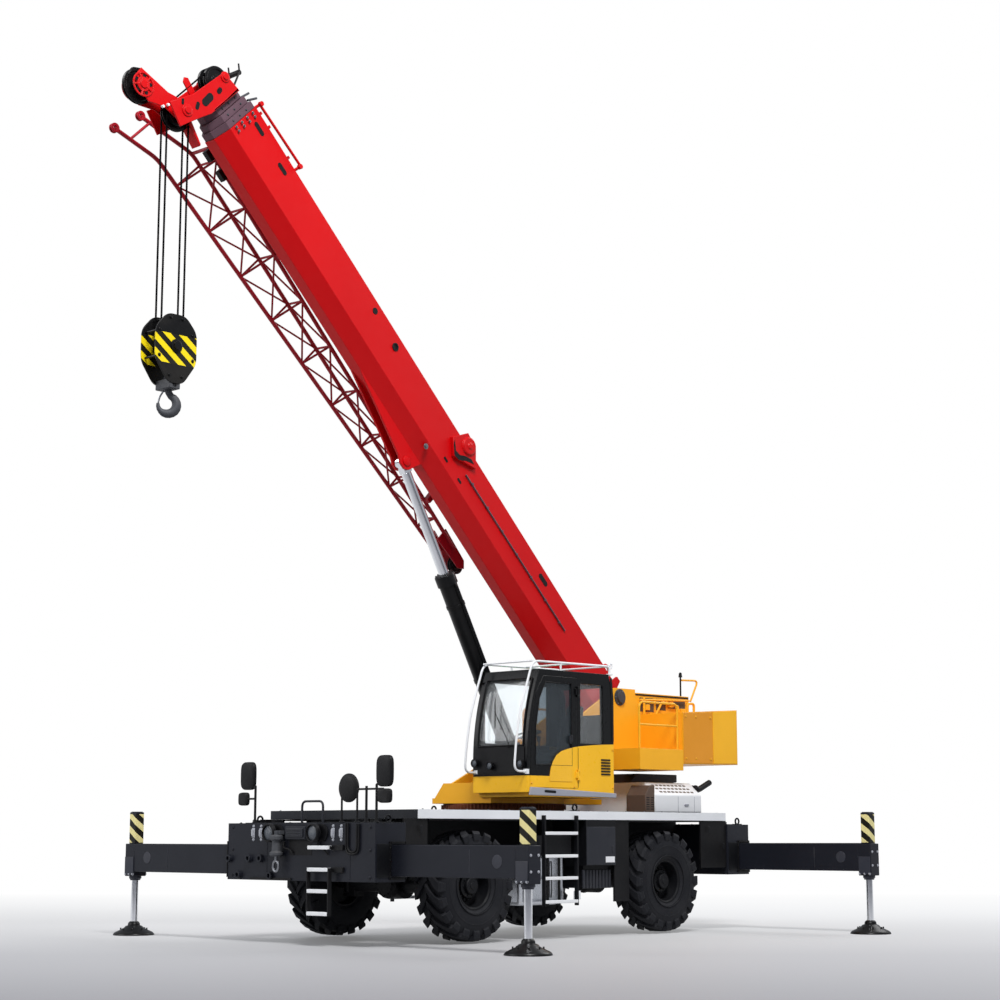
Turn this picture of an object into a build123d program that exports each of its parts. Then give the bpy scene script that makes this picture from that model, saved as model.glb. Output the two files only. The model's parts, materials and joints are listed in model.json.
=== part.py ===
from build123d import *
import math
import os

# Two-axle rough-terrain crane standing on its outriggers. All sizes are in millimetres.
# The front is at -Y, the vehicle's left side (the cab's side) is at +X, and the floor is at Z = 0.
# Suffixes: _x, _y and _z are places, the other names are sizes. Places along the vehicle are counted
# from the middle of the wheelbase, and chassis_y puts that middle in the model's frame.

# ---- driving sizes -------------------------------------------------------------------------------
chassis_y = 1450           # middle of the wheelbase, so that the whole part is centred on the origin
running_gap = 5            # clearance between pieces that move past each other
seat_gap = 0.3             # clearance of a piece from the seat that carries it
pin_gap = 0.05             # radial clearance of a pin in its bore

# wheels and axles
wheelbase = 4120
tyre_radius = 745
tyre_width = 500
tyre_x = 1300
tyre_clearance = 20        # the tyres hang this far above the floor
rim_radius = 317
rim_width = 420
rim_wall = 14
hub_radius = 190
hub_cap_reach = 170        # outwards from the wheel's middle
hub_inner = -160
web_thickness = 40
spindle_radius = 70
spindle_end = -100
kingpin_bore = 35
kingpin_x = 1000
kingpin_radius = 80
knuckle_height = 260
axle_tube_radius = 115
axle_bulge_radius = 195
yoke_thickness = 50

# carrier
carrier_width = 3000
frame_half = 480
frame_bottom_z = 1015
deck_bottom_z = 1663
deck_top_z = 1783
deck_front_y = -3140
deck_rear_y = 3550
deck_plate = 20
frame_wall = 16

# outriggers
outrigger_reach = 3820
outrigger_travel = 2180
beam_width = 220
beam_bottom_z = 914
beam_top_z = 1320
beam_wall = 12
beam_inner_x = 750
beam_pad_length = 60       # wear pads at the slot's mouth, where the beam slides at seat_gap
beam_pitch = 250           # fore-and-aft distance between the left and the right beam
front_beams_y = -3630
rear_beams_y = 3860
beam_box_wall = 30
beam_box_bottom_z = 840
beam_box_top_z = 1607
post_width = 220
post_top_z = 1778
post_bottom_z = 850
post_gland = 60
jack_radius = 70
jack_top_z = 1120
pad_radius = 300
pad_height = 160
pad_rim = 45

# slewing part
slew_y = 100
slew_ring_radius = 900
slew_ring_inner = 700
slew_ring_top_z = 1900
base_plate = 80
turntable_half = 600
side_plate_x = 350         # middle of each of the two side plates that carry the boom foot
tray_front_y = -1620
tray_rear_y = -950
tray_half = 550
tray_top_z = 2195          # low enough for the lift cylinder's barrel at full luff down
base_rear_y = 1640
wing_front_y = 1780
wing_bottom_z = 2430
wing_top_z = 2750
slot_bottom_z = 2710       # floor of the winch slot in the counterweight
slot_rear_y = 4120
winch_rear_y = 4100
winch_cover_y = 3260
winch_top_z = 3670
plate_top_y = (2240, 2740)
plate_top_z = 3720
drum_radius = 190
drum_flange_radius = 260
drum_half = 300
drum_shaft_radius = 60
winch_drums = {
    # name: (y, z) of the drum's shaft
    "main_winch_drum": (3060, 3070),
    "auxiliary_winch_drum": (3640, 3070),
}
handrail_y = (1830, 2750)
handrail_middle_z = 3110
handrail_top_z = 3450
rail_radius = 18
side_plate = 40
foot_y = 2360              # boom foot pin
foot_z = 3578
foot_pin_radius = 60
foot_pin_half = 400
cylinder_y = 350           # lower pin of the lift cylinder
cylinder_z = 2500
tail_half = 1250
tail_front_y = 2830
tail_rear_y = 4220
tail_bottom_z = 2530
tail_top_z = 3400

# boom, with stations counted along it from the foot pin and heights counted square to it
boom_angle = 45
boom_half = 260
boom_top = 170
boom_bend = -436
boom_bottom = -645
boom_bottom_half = 98
boom_rear = -260
boom_tip = 10750
boom_wall = 10
section_inset = 30
section_step = 105         # each inner section stands this much further out of the tip
section_rear = 500
section_rear_step = 150
collar_length = 100
collar_proud = 18
pad_length = 60
foot_boss_radius = 130

# lift cylinder
cylinder_eye_s = 5390
cylinder_eye_n = -843
barrel_length = 3120
barrel_radius = 135
barrel_bore = 100
rod_radius = 75
rod_length = 3200
rod_pin_radius = 50
eye_radius = 105
eye_half = 60
barrel_eye_half = 160
barrel_eye_radius = 130
lug_radius = 130
lug_gap = 15
gland_length = 140
bore_bottom = 95
rod_neck = 170
cheek_plate = 33
gusset_outline = [
    (5180, -640), (5270, -900), (5340, -960), (5440, -960), (5540, -910), (6950, -640),
]
foot_boss_half = 322

# head and hook
head_rear = 11075
head_half = 260
head_plate = 25
head_sheave_s = 11319
head_sheave_n = -908
sheave_radius = 255
rope_radius = 12
rope_pitch = 120
top_sheave_s = 11331
top_sheave_n = -20
top_sheave_radius = 200
nose_s = 11913
nose_n = -1137
nose_radius = 240
nose_half = 35
sheave_thickness = 50
block_z = 7744
block_half = 560 / 2
block_top = 425
block_bottom = -500
block_plate = 20
crosshead_width = 300
crosshead_depth = 180
crosshead_height = 130
shank_radius = 45
hook_outer_radius = 165
hook_inner_radius = 85
hook_thickness = 90
hook_bottom_z = 6820

# jib stowed on the boom's right side
jib_inner_x = -350
jib_outer_x = -950
jib_heel_s = 3330
jib_tip_s = 11590
jib_high = -480
jib_low = -900
jib_tip_high = -1100
jib_tip_low = -1400
jib_chord_radius = 30
jib_brace_radius = 20
jib_panels = 8
jib_brackets_s = (4500, 8800)

# hoods, tanks and ladders
hood_margin = 180          # the hood's sides stand this far inside the deck's
hood_front_y = 1830
hood_rear_y = 3180
hood_top_z = 2240
hood_wall = 25
slab_top_z = 2390
tank_width = 720
tank_margin = 150          # the tank stands this far inside the deck's side
tank_length = 940
tank_height = 700
tank_y = -530
tank_z = 820
tank_strap_y = (-850, -210)
cabinet_y = 570
cabinet_width = 650
cabinet_length = 660
cabinet_bottom_z = 1010
step_box_width = 500
step_box_length = 560
step_box_height = 320
step_box_margin = 100
exhaust_margin = 300
exhaust_y = 3380
ladder_reach = 40
lamp_margin = 350
lamp_radius = 90
lamp_depth = 70
lamp_heights = (1100, 1350)

# cab
cab_in_x = 560
cab_out_x = 1450
cab_front_y = -950
cab_rear_y = 930
cab_floor_z = 2040
cab_top_z = 3790
cab_wall = 60
cab_brow_y = -690
door_rear_y = 115
hinge_reach = 20           # the door's axis stands this far outside the cab's face
hinge_y = door_rear_y + running_gap / 2
hinge_heights = (2300, 3500)
hinge_height = 90
hinge_lug = 30
hinge_leaf = 45
hinge_radius = 14
hinge_pin_radius = 8
glass_inset = 20
glass_thickness = 12
guard_radius = 22
guard_top_z = 3910

axle_z = tyre_radius + tyre_clearance
sides = {"l": 1, "r": -1}
ends = {"f": -1, "r": 1}
os.makedirs("parts", exist_ok=True)


def save(piece, node):
    """Labels a finished piece with its node's name and writes its STEP file."""
    piece.part.label = node
    export_step(piece.part, f"parts/{node}.step")


def along(y):
    """Y in the model's frame of a place counted from the middle of the wheelbase."""
    return chassis_y + y


def side_view(x=0):
    """Plane parallel to the vehicle's side: local x runs to the rear and local y runs up."""
    return Plane(origin=(x, chassis_y, 0), x_dir=(0, 1, 0), z_dir=(1, 0, 0))


boom_cos = math.cos(math.radians(boom_angle))
boom_sin = math.sin(math.radians(boom_angle))
boom_u = Vector(0, -boom_cos, boom_sin)
boom_n = Vector(0, boom_sin, boom_cos)
foot = Vector(0, along(foot_y), foot_z)


def boom_place(x, s, n):
    """Point at side place x, station s along the boom and height n square to it."""
    return foot + Vector(x, 0, 0) + boom_u * s + boom_n * n


def boom_side(x=0):
    """Plane parallel to the boom's side: local x is the station and local y the height."""
    return Plane(origin=boom_place(x, 0, 0), x_dir=boom_u, z_dir=(-1, 0, 0))


def boom_across(s):
    """Plane square to the boom at station s: local x runs to the left and local y is the height."""
    return Plane(origin=boom_place(0, s, 0), x_dir=(1, 0, 0), z_dir=boom_u)


def outline(plane, points):
    """Face with straight edges on a plane."""
    with BuildSketch(plane) as sketch:
        with BuildLine():
            Polyline(*points, close=True)
        make_face()
    return sketch.sketch


def disc(plane, centre, radius):
    """Round face on a plane."""
    with BuildSketch(plane) as sketch:
        with Locations(centre):
            Circle(radius)
    return sketch.sketch


def bar(start, end, radius):
    """Adds a round bar between two points to the open part."""
    run = end - start
    with Locations(Plane(origin=start, z_dir=run).location):
        Cylinder(radius, run.length, align=(Align.CENTER, Align.CENTER, Align.MIN))


def tube(points, bend, radius):
    """Adds a round tube along a bent path to the open part."""
    with BuildLine() as path:
        FilletPolyline(*points, radius=bend)
    with BuildSketch(Plane(origin=path.line @ 0, z_dir=path.line % 0)) as ring:
        Circle(radius)
    sweep(sections=ring.sketch, path=path.line)


def boom_outline(s, inset):
    """Outline of a boom section, inset from the outermost one."""
    with BuildSketch(boom_across(s)) as sketch:
        with BuildLine():
            Polyline(
                (-boom_half, boom_top),
                (-boom_half, boom_bend),
                (-boom_bottom_half, boom_bottom),
                (boom_bottom_half, boom_bottom),
                (boom_half, boom_bend),
                (boom_half, boom_top),
                close=True,
            )
        make_face()
        if inset:
            offset(amount=-inset, kind=Kind.INTERSECTION)
    return sketch.sketch


# ---- carrier -------------------------------------------------------------------------------------
frame_front_y = front_beams_y - beam_pitch / 2 - beam_width / 2 - running_gap - beam_box_wall
front_box_y = (frame_front_y, front_beams_y + beam_pitch / 2 + beam_width / 2 + running_gap + beam_box_wall)
rear_box_y = (
    rear_beams_y - beam_pitch / 2 - beam_width / 2 - running_gap - beam_box_wall,
    rear_beams_y + beam_pitch / 2 + beam_width / 2 + running_gap + beam_box_wall,
)
frame_length = rear_box_y[0] - front_box_y[1]
frame_middle_y = (rear_box_y[0] + front_box_y[1]) / 2

with BuildPart() as carrier_frame:
    extrude(
        outline(side_view(), [
            (front_box_y[1], frame_bottom_z), (rear_box_y[0], frame_bottom_z),
            (rear_box_y[0], deck_bottom_z), (front_box_y[1], deck_bottom_z),
        ]),
        amount=frame_half, both=True,
    )
    with Locations((0, along(frame_middle_y), (frame_bottom_z + deck_bottom_z) / 2)):
        Box(
            2 * (frame_half - frame_wall), frame_length,
            deck_bottom_z - frame_bottom_z - 2 * frame_wall, mode=Mode.SUBTRACT,
        )
    for cross_y in (front_box_y[1] + 60, -2060, -1000, 1000, 2060, rear_box_y[0] - 60):
        with Locations((0, along(cross_y), (frame_bottom_z + deck_bottom_z) / 2)):
            Box(2 * frame_half - frame_wall, 40, deck_bottom_z - frame_bottom_z - frame_wall)
save(carrier_frame, "carrier_frame")

with BuildPart() as outrigger_boxes:
    for box_y, beams_y in ((front_box_y, front_beams_y), (rear_box_y, rear_beams_y)):
        with Locations((0, along((box_y[0] + box_y[1]) / 2), (beam_box_bottom_z + beam_box_top_z) / 2)):
            Box(carrier_width, box_y[1] - box_y[0], beam_box_top_z - beam_box_bottom_z)
        for side in sides.values():
            slot_y = along(beams_y + side * beam_pitch / 2)
            with Locations((-side * beam_pad_length / 2, slot_y, (beam_bottom_z + beam_top_z) / 2)):
                Box(
                    carrier_width - beam_pad_length, beam_width + 2 * running_gap,
                    beam_top_z - beam_bottom_z + 2 * running_gap, mode=Mode.SUBTRACT,
                )
            with Locations((0, slot_y, (beam_bottom_z + beam_top_z) / 2)):
                Box(
                    carrier_width, beam_width + 2 * seat_gap, beam_top_z - beam_bottom_z + 2 * seat_gap,
                    mode=Mode.SUBTRACT,
                )
save(outrigger_boxes, "outrigger_boxes")

with BuildPart() as deck_plates:
    with Locations((0, along((deck_front_y + deck_rear_y) / 2), (deck_bottom_z + deck_top_z) / 2)):
        Box(carrier_width, deck_rear_y - deck_front_y, deck_top_z - deck_bottom_z)
    with Locations((0, along((deck_front_y + deck_rear_y) / 2), (deck_bottom_z + deck_top_z - deck_plate) / 2)):
        Box(
            carrier_width - 2 * deck_plate, deck_rear_y - deck_front_y - 2 * deck_plate,
            deck_top_z - deck_bottom_z - deck_plate, mode=Mode.SUBTRACT,
        )
    with Locations((0, along((deck_front_y + deck_rear_y) / 2), (deck_bottom_z + deck_top_z) / 2)):
        Box(2 * frame_half, deck_rear_y - deck_front_y - 2 * deck_plate, deck_top_z - deck_bottom_z)
    with Locations((0, along(slew_y), deck_top_z)):
        Cylinder(slew_ring_inner, 2 * (deck_top_z - deck_bottom_z), mode=Mode.SUBTRACT)
save(deck_plates, "deck_plates")

with BuildPart() as slew_ring:
    with Locations((0, along(slew_y), deck_top_z)):
        Cylinder(slew_ring_radius, slew_ring_top_z - deck_top_z, align=(Align.CENTER, Align.CENTER, Align.MIN))
        Cylinder(
            slew_ring_inner, slew_ring_top_z - deck_top_z,
            align=(Align.CENTER, Align.CENTER, Align.MIN), mode=Mode.SUBTRACT,
        )
save(slew_ring, "slew_ring")

# ---- axles, knuckles, wheels ---------------------------------------------------------------------
knuckle_face_z = knuckle_height / 2
yoke_inner_x = kingpin_x - 200
for end, end_sign in ends.items():
    axle_y = along(end_sign * wheelbase / 2)
    with BuildPart() as axle:
        with Locations(Location((0, axle_y, axle_z), (0, 90, 0))):
            Cylinder(axle_tube_radius, 2 * (yoke_inner_x + 60))
            Cylinder(axle_bulge_radius, 320)
        for side in sides.values():
            with Locations((side * 390, axle_y, (axle_z + frame_bottom_z) / 2)):
                Box(150, 200, frame_bottom_z - axle_z)
            with Locations((side * (yoke_inner_x + 60), axle_y, axle_z)):
                Box(120, 180, knuckle_height + 2 * (running_gap + yoke_thickness))
            for up in (-1, 1):
                yoke_z = axle_z + up * (knuckle_face_z + running_gap + yoke_thickness / 2)
                with Locations((side * (kingpin_x + yoke_inner_x + 60) / 2, axle_y, yoke_z)):
                    Box(kingpin_x - yoke_inner_x - 60, 180, yoke_thickness)
                with Locations((side * kingpin_x, axle_y, yoke_z)):
                    Cylinder(90, yoke_thickness)
            with Locations((side * kingpin_x, axle_y, axle_z)):
                Cylinder(kingpin_bore, knuckle_height + 2 * (running_gap + yoke_thickness), mode=Mode.SUBTRACT)
    save(axle, {"f": "front_axle", "r": "rear_axle"}[end])
    for side_name, side in sides.items():
        spot = f"{end}{side_name}"
        with BuildPart() as knuckle:
            with Locations((side * kingpin_x, axle_y, axle_z)):
                Cylinder(kingpin_radius, knuckle_height)
                Cylinder(kingpin_bore - pin_gap, knuckle_height + 2 * (running_gap + yoke_thickness))
            with Locations(Location((side * kingpin_x, axle_y, axle_z), (0, side * 90, 0))):
                Cylinder(
                    spindle_radius, tyre_x + spindle_end - kingpin_x,
                    align=(Align.CENTER, Align.CENTER, Align.MIN),
                )
        save(knuckle, f"knuckle_{spot}")
        wheel_plane = Plane(origin=(side * tyre_x, axle_y, axle_z), x_dir=(side, 0, 0), z_dir=(0, -side, 0))
        with BuildPart() as rim:
            revolve(
                outline(wheel_plane, [
                    (-rim_width / 2, rim_radius - rim_wall), (-rim_width / 2, rim_radius),
                    (rim_width / 2, rim_radius), (rim_width / 2, rim_radius - rim_wall),
                    (web_thickness, rim_radius - 3 * rim_wall), (web_thickness, hub_radius),
                    (hub_cap_reach, hub_radius - 40), (hub_cap_reach, 0), (spindle_end + 5, 0),
                    (spindle_end + 5, spindle_radius + pin_gap), (hub_inner, spindle_radius + pin_gap),
                    (hub_inner, hub_radius - 60), (0, hub_radius - 60), (0, rim_radius - 3 * rim_wall),
                ]),
                axis=Axis((0, axle_y, axle_z), (1, 0, 0)),
            )
        save(rim, f"rim_{spot}")
        with BuildPart() as tyre:
            revolve(
                outline(wheel_plane, [
                    (-rim_width / 2, rim_radius + seat_gap), (rim_width / 2, rim_radius + seat_gap),
                    (tyre_width / 2, rim_radius + 150), (tyre_width / 2, tyre_radius - 90),
                    (tyre_width / 2 - 50, tyre_radius), (-tyre_width / 2 + 50, tyre_radius),
                    (-tyre_width / 2, tyre_radius - 90), (-tyre_width / 2, rim_radius + 150),
                ]),
                axis=Axis((0, axle_y, axle_z), (1, 0, 0)),
            )
        save(tyre, f"tyre_{spot}")

# ---- outrigger beams and jacks -------------------------------------------------------------------
# The left beams lie behind the right beams in both boxes.
for end, beams_y in (("f", front_beams_y), ("r", rear_beams_y)):
    for side_name, side in sides.items():
        spot = f"{end}{side_name}"
        beam_y = along(beams_y + side * beam_pitch / 2)
        beam_z = (beam_bottom_z + beam_top_z) / 2
        beam_end_x = outrigger_reach - post_width / 2
        with BuildPart() as beam:
            with Locations((side * (beam_inner_x + beam_end_x) / 2, beam_y, beam_z)):
                Box(beam_end_x - beam_inner_x, beam_width, beam_top_z - beam_bottom_z)
            with Locations((side * (beam_inner_x + beam_end_x - 60) / 2, beam_y, beam_z)):
                Box(
                    beam_end_x - beam_inner_x - 60, beam_width - 2 * beam_wall,
                    beam_top_z - beam_bottom_z - 2 * beam_wall, mode=Mode.SUBTRACT,
                )
            with Locations((side * outrigger_reach, beam_y, (post_bottom_z + post_top_z) / 2)):
                Box(post_width, post_width, post_top_z - post_bottom_z)
            with Locations((side * outrigger_reach, beam_y, post_bottom_z)):
                Cylinder(
                    jack_radius + seat_gap, 2 * post_gland, align=(Align.CENTER, Align.CENTER, Align.MIN),
                    mode=Mode.SUBTRACT,
                )
            with Locations((side * outrigger_reach, beam_y, post_bottom_z + post_gland)):
                Cylinder(
                    jack_radius + running_gap, post_top_z - post_bottom_z - post_gland - 30,
                    align=(Align.CENTER, Align.CENTER, Align.MIN), mode=Mode.SUBTRACT,
                )
        save(beam, f"outrigger_beam_{spot}")
        with BuildPart() as jack:
            with Locations((side * outrigger_reach, beam_y, 0)):
                Cylinder(pad_radius, pad_rim, align=(Align.CENTER, Align.CENTER, Align.MIN))
                Cylinder(jack_radius, jack_top_z, align=(Align.CENTER, Align.CENTER, Align.MIN))
            with Locations((side * outrigger_reach, beam_y, pad_rim)):
                Cone(
                    pad_radius, jack_radius + 30, pad_height - pad_rim,
                    align=(Align.CENTER, Align.CENTER, Align.MIN),
                )
        save(jack, f"outrigger_jack_{spot}")

# ---- turntable -----------------------------------------------------------------------------------
base_bottom_z = slew_ring_top_z + seat_gap
base_top_z = base_bottom_z + base_plate
plate_outer_x = side_plate_x + side_plate / 2
plate_inner_x = side_plate_x - side_plate / 2
with BuildPart() as turntable:
    with Locations((0, along(slew_y), base_bottom_z)):
        Cylinder(slew_ring_radius, base_plate, align=(Align.CENTER, Align.CENTER, Align.MIN))
    extrude(
        outline(Plane.XY.offset(base_bottom_z), [
            (-turntable_half, along(tray_front_y)), (turntable_half, along(tray_front_y)),
            (turntable_half, along(base_rear_y)), (-turntable_half, along(base_rear_y)),
        ]),
        amount=base_plate,
    )
    for side in sides.values():
        extrude(
            outline(side_view(side * side_plate_x), [
                (tray_rear_y, base_top_z), (base_rear_y, base_top_z), (base_rear_y + 120, wing_bottom_z),
                (tail_front_y, wing_bottom_z), (tail_front_y, slot_bottom_z), (winch_rear_y, slot_bottom_z),
                (winch_rear_y, winch_top_z), (plate_top_y[1], winch_top_z), (plate_top_y[1], plate_top_z),
                (plate_top_y[0], plate_top_z), (1900, 3520), (600, 2780), (tray_rear_y, tray_top_z),
            ]),
            amount=side_plate / 2, both=True,
        )
        lug_middle_x = (barrel_eye_half + lug_gap + plate_inner_x) / 2
        with Locations(Location((side * lug_middle_x, along(cylinder_y), cylinder_z), (0, 90, 0))):
            Cylinder(lug_radius, plate_inner_x - barrel_eye_half - lug_gap)
        wing_middle_x = (plate_outer_x + tail_half) / 2
        with Locations((side * wing_middle_x, along((wing_front_y + tail_front_y) / 2), (wing_bottom_z + wing_top_z) / 2)):
            Box(tail_half - plate_outer_x, tail_front_y - wing_front_y, wing_top_z - wing_bottom_z)
    with Locations((0, along((tray_front_y + tray_rear_y) / 2), (base_top_z + tray_top_z) / 2)):
        Box(2 * tray_half, tray_rear_y - tray_front_y, tray_top_z - base_top_z)
    with Locations((0, along((winch_cover_y + winch_rear_y) / 2), winch_top_z - 10)):
        Box(2 * plate_outer_x, winch_rear_y - winch_cover_y, 20)
    extrude(disc(side_view(), (foot_y, foot_z), foot_pin_radius), amount=foot_pin_half, both=True)
    for drum_y, drum_z in winch_drums.values():
        extrude(disc(side_view(), (drum_y, drum_z), drum_shaft_radius), amount=plate_outer_x, both=True)
save(turntable, "turntable")

with BuildPart() as counterweight:
    extrude(
        outline(side_view(), [
            (tail_front_y, tail_bottom_z), (tail_rear_y, tail_bottom_z + 20),
            (tail_rear_y, tail_top_z + 20), (tail_front_y, tail_top_z - 70),
        ]),
        amount=tail_half, both=True,
    )
    with Locations((0, along((tail_front_y + slot_rear_y) / 2), slot_bottom_z)):
        Box(
            2 * plate_outer_x, slot_rear_y - tail_front_y, 1000,
            align=(Align.CENTER, Align.CENTER, Align.MIN), mode=Mode.SUBTRACT,
        )
save(counterweight, "counterweight")

for drum_name, (drum_y, drum_z) in winch_drums.items():
    with BuildPart() as drum:
        with Locations(Location((0, along(drum_y), drum_z), (0, 90, 0))):
            Cylinder(drum_radius, 2 * drum_half)
            for flange in (-1, 1):
                with Locations((0, 0, flange * (drum_half - 10))):
                    Cylinder(drum_flange_radius, 20)
            Cylinder(drum_shaft_radius + seat_gap, 2 * drum_half, mode=Mode.SUBTRACT)
    save(drum, drum_name)

with BuildPart() as superstructure_handrails:
    for side in sides.values():
        rail_x = side * (tail_half - 50)
        loop = [
            (handrail_y[0], wing_top_z), (handrail_y[0], handrail_top_z), (handrail_y[1], handrail_top_z),
            (handrail_y[1], wing_top_z),
        ]
        tube([Vector(rail_x, along(y), z) for y, z in loop], 90, rail_radius)
        bar(
            Vector(rail_x, along(handrail_y[0]), handrail_middle_z),
            Vector(rail_x, along(handrail_y[1]), handrail_middle_z), rail_radius - 3,
        )
save(superstructure_handrails, "superstructure_handrails")

# ---- cab -----------------------------------------------------------------------------------------
windows = {
    # name: (x from, x to, y from, y to, z from, z to)
    "windscreen": (cab_in_x + 90, cab_out_x - 90, cab_front_y - 100, cab_front_y + 400, 2700, 3660),
    "roof": (cab_in_x + 90, cab_out_x - 90, -560, 420, cab_top_z - 100, cab_top_z + 50),
    "right": (cab_in_x - 50, cab_in_x + cab_wall + 20, -760, 620, 2760, 3640),
    "left_rear": (cab_out_x - cab_wall - 20, cab_out_x + 50, 190, 690, 2760, 3620),
    "rear": (cab_in_x + 120, cab_out_x - 120, cab_rear_y - 200, cab_rear_y + 100, 2900, 3600),
}
door_outline = [
    (door_rear_y, cab_floor_z + 70), (door_rear_y, cab_top_z - 90), (-600, cab_top_z - 90), (-765, 3450),
    (-855, 3000), (-890, 2500), (-890, cab_floor_z + 70),
]
door_window = [(10, 2420), (10, 3620), (-570, 3620), (-700, 3380), (-780, 2960), (-790, 2420)]


def cab_outline(inset):
    """Side outline of the cab, inset from its outer faces."""
    with BuildSketch(side_view(cab_in_x + inset)) as sketch:
        with BuildLine():
            ThreePointArc((cab_front_y, 2560), (cab_front_y + 85, 3250), (cab_brow_y, cab_top_z))
            Polyline(
                (cab_brow_y, cab_top_z), (cab_rear_y - 110, cab_top_z), (cab_rear_y, cab_top_z - 320),
                (cab_rear_y, cab_floor_z), (cab_front_y, cab_floor_z), (cab_front_y, 2560),
            )
        make_face()
        if inset:
            offset(amount=-inset, kind=Kind.INTERSECTION)
    return sketch.sketch


def cab_solid(inset, mode=Mode.ADD):
    """Adds the cab's volume to the open part, inset on all sides, or cuts it away."""
    extrude(cab_outline(inset), amount=cab_out_x - cab_in_x - 2 * inset, mode=mode)


def window_boxes(mode=Mode.ADD):
    """Adds the window openings to the open part as boxes, or cuts them away."""
    for x0, x1, y0, y1, z0, z1 in windows.values():
        with Locations(((x0 + x1) / 2, along((y0 + y1) / 2), (z0 + z1) / 2)):
            Box(x1 - x0, y1 - y0, z1 - z0, mode=mode)


with BuildPart() as cab_shell:
    cab_solid(0)
    cab_solid(cab_wall, Mode.SUBTRACT)
    window_boxes(Mode.SUBTRACT)
    with BuildSketch(side_view(cab_out_x - cab_wall - 20)) as doorway:
        with BuildLine():
            Polyline(*door_outline, close=True)
        make_face()
        offset(amount=running_gap, kind=Kind.INTERSECTION)
    extrude(amount=cab_wall + 40, mode=Mode.SUBTRACT)
    with Locations(((cab_in_x + cab_out_x) / 2, along(0), (base_top_z + cab_floor_z) / 2)):
        Box(cab_out_x - cab_in_x - 60, 1700, cab_floor_z - base_top_z)
    for hinge_z in hinge_heights:
        for lug in (-1, 1):
            lug_z = hinge_z + lug * (hinge_height / 2 + seat_gap + hinge_lug / 2)
            with Locations((cab_out_x, along(hinge_y), lug_z)):
                Box(hinge_reach, hinge_leaf, hinge_lug, align=(Align.MIN, Align.MIN, Align.CENTER))
            with Locations((cab_out_x + hinge_reach, along(hinge_y), lug_z)):
                Cylinder(hinge_radius, hinge_lug)
        with Locations((cab_out_x + hinge_reach, along(hinge_y), hinge_z)):
            Cylinder(hinge_pin_radius, hinge_height + 2 * (seat_gap + hinge_lug))
save(cab_shell, "cab_shell")

with BuildPart() as window_volume:
    window_boxes()
with BuildPart() as cab_glass:
    cab_solid(glass_inset)
    cab_solid(glass_inset + glass_thickness, Mode.SUBTRACT)
    add(window_volume.part, mode=Mode.INTERSECT)
save(cab_glass, "cab_glass")

with BuildPart() as cab_door:
    extrude(outline(side_view(cab_out_x - cab_wall), door_outline), amount=cab_wall)
    extrude(outline(side_view(cab_out_x - cab_wall), door_window), amount=cab_wall, mode=Mode.SUBTRACT)
    for hinge_z in hinge_heights:
        with Locations((cab_out_x, along(hinge_y), hinge_z)):
            Box(hinge_reach, hinge_leaf, hinge_height, align=(Align.MIN, Align.MAX, Align.CENTER))
        with Locations((cab_out_x + hinge_reach, along(hinge_y), hinge_z)):
            Cylinder(hinge_radius, hinge_height)
            Cylinder(hinge_pin_radius + pin_gap, hinge_height, mode=Mode.SUBTRACT)
save(cab_door, "cab_door")

with BuildPart() as cab_door_glass:
    extrude(outline(side_view(cab_out_x - glass_inset - glass_thickness), door_window), amount=glass_thickness)
save(cab_door_glass, "cab_door_glass")

with BuildPart() as operator_seat:
    seat_x = (cab_in_x + cab_out_x) / 2
    with Locations((seat_x, along(380), cab_floor_z + cab_wall)):
        Box(260, 300, 330, align=(Align.CENTER, Align.CENTER, Align.MIN))
    with Locations((seat_x, along(300), cab_floor_z + cab_wall + 330)):
        Box(480, 500, 130, align=(Align.CENTER, Align.CENTER, Align.MIN))
    with Locations(Location((seat_x, along(540), cab_floor_z + cab_wall + 460), (-8, 0, 0))):
        Box(460, 120, 640, align=(Align.CENTER, Align.CENTER, Align.MIN))
    for side in sides.values():
        with Locations((seat_x + side * 280, along(300), cab_floor_z + cab_wall + 280)):
            Box(90, 460, 330, align=(Align.CENTER, Align.CENTER, Align.MIN))
save(operator_seat, "operator_seat")

with BuildPart() as cab_guard_bars:
    for bar_x in (cab_in_x + 40, cab_out_x - 30):
        guard_route = [
            (cab_front_y, 2510), (-1150, 2510), (-1185, 2980), (-1050, 3520), (-850, guard_top_z), (780, guard_top_z),
            (780, cab_top_z),
        ]
        tube([Vector(bar_x, along(y), z) for y, z in guard_route], 60, guard_radius)
    bar(
        Vector(cab_in_x + 40, along(-760), guard_top_z), Vector(cab_out_x - 30, along(-760), guard_top_z),
        guard_radius - 4,
    )
save(cab_guard_bars, "cab_guard_bars")

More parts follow.
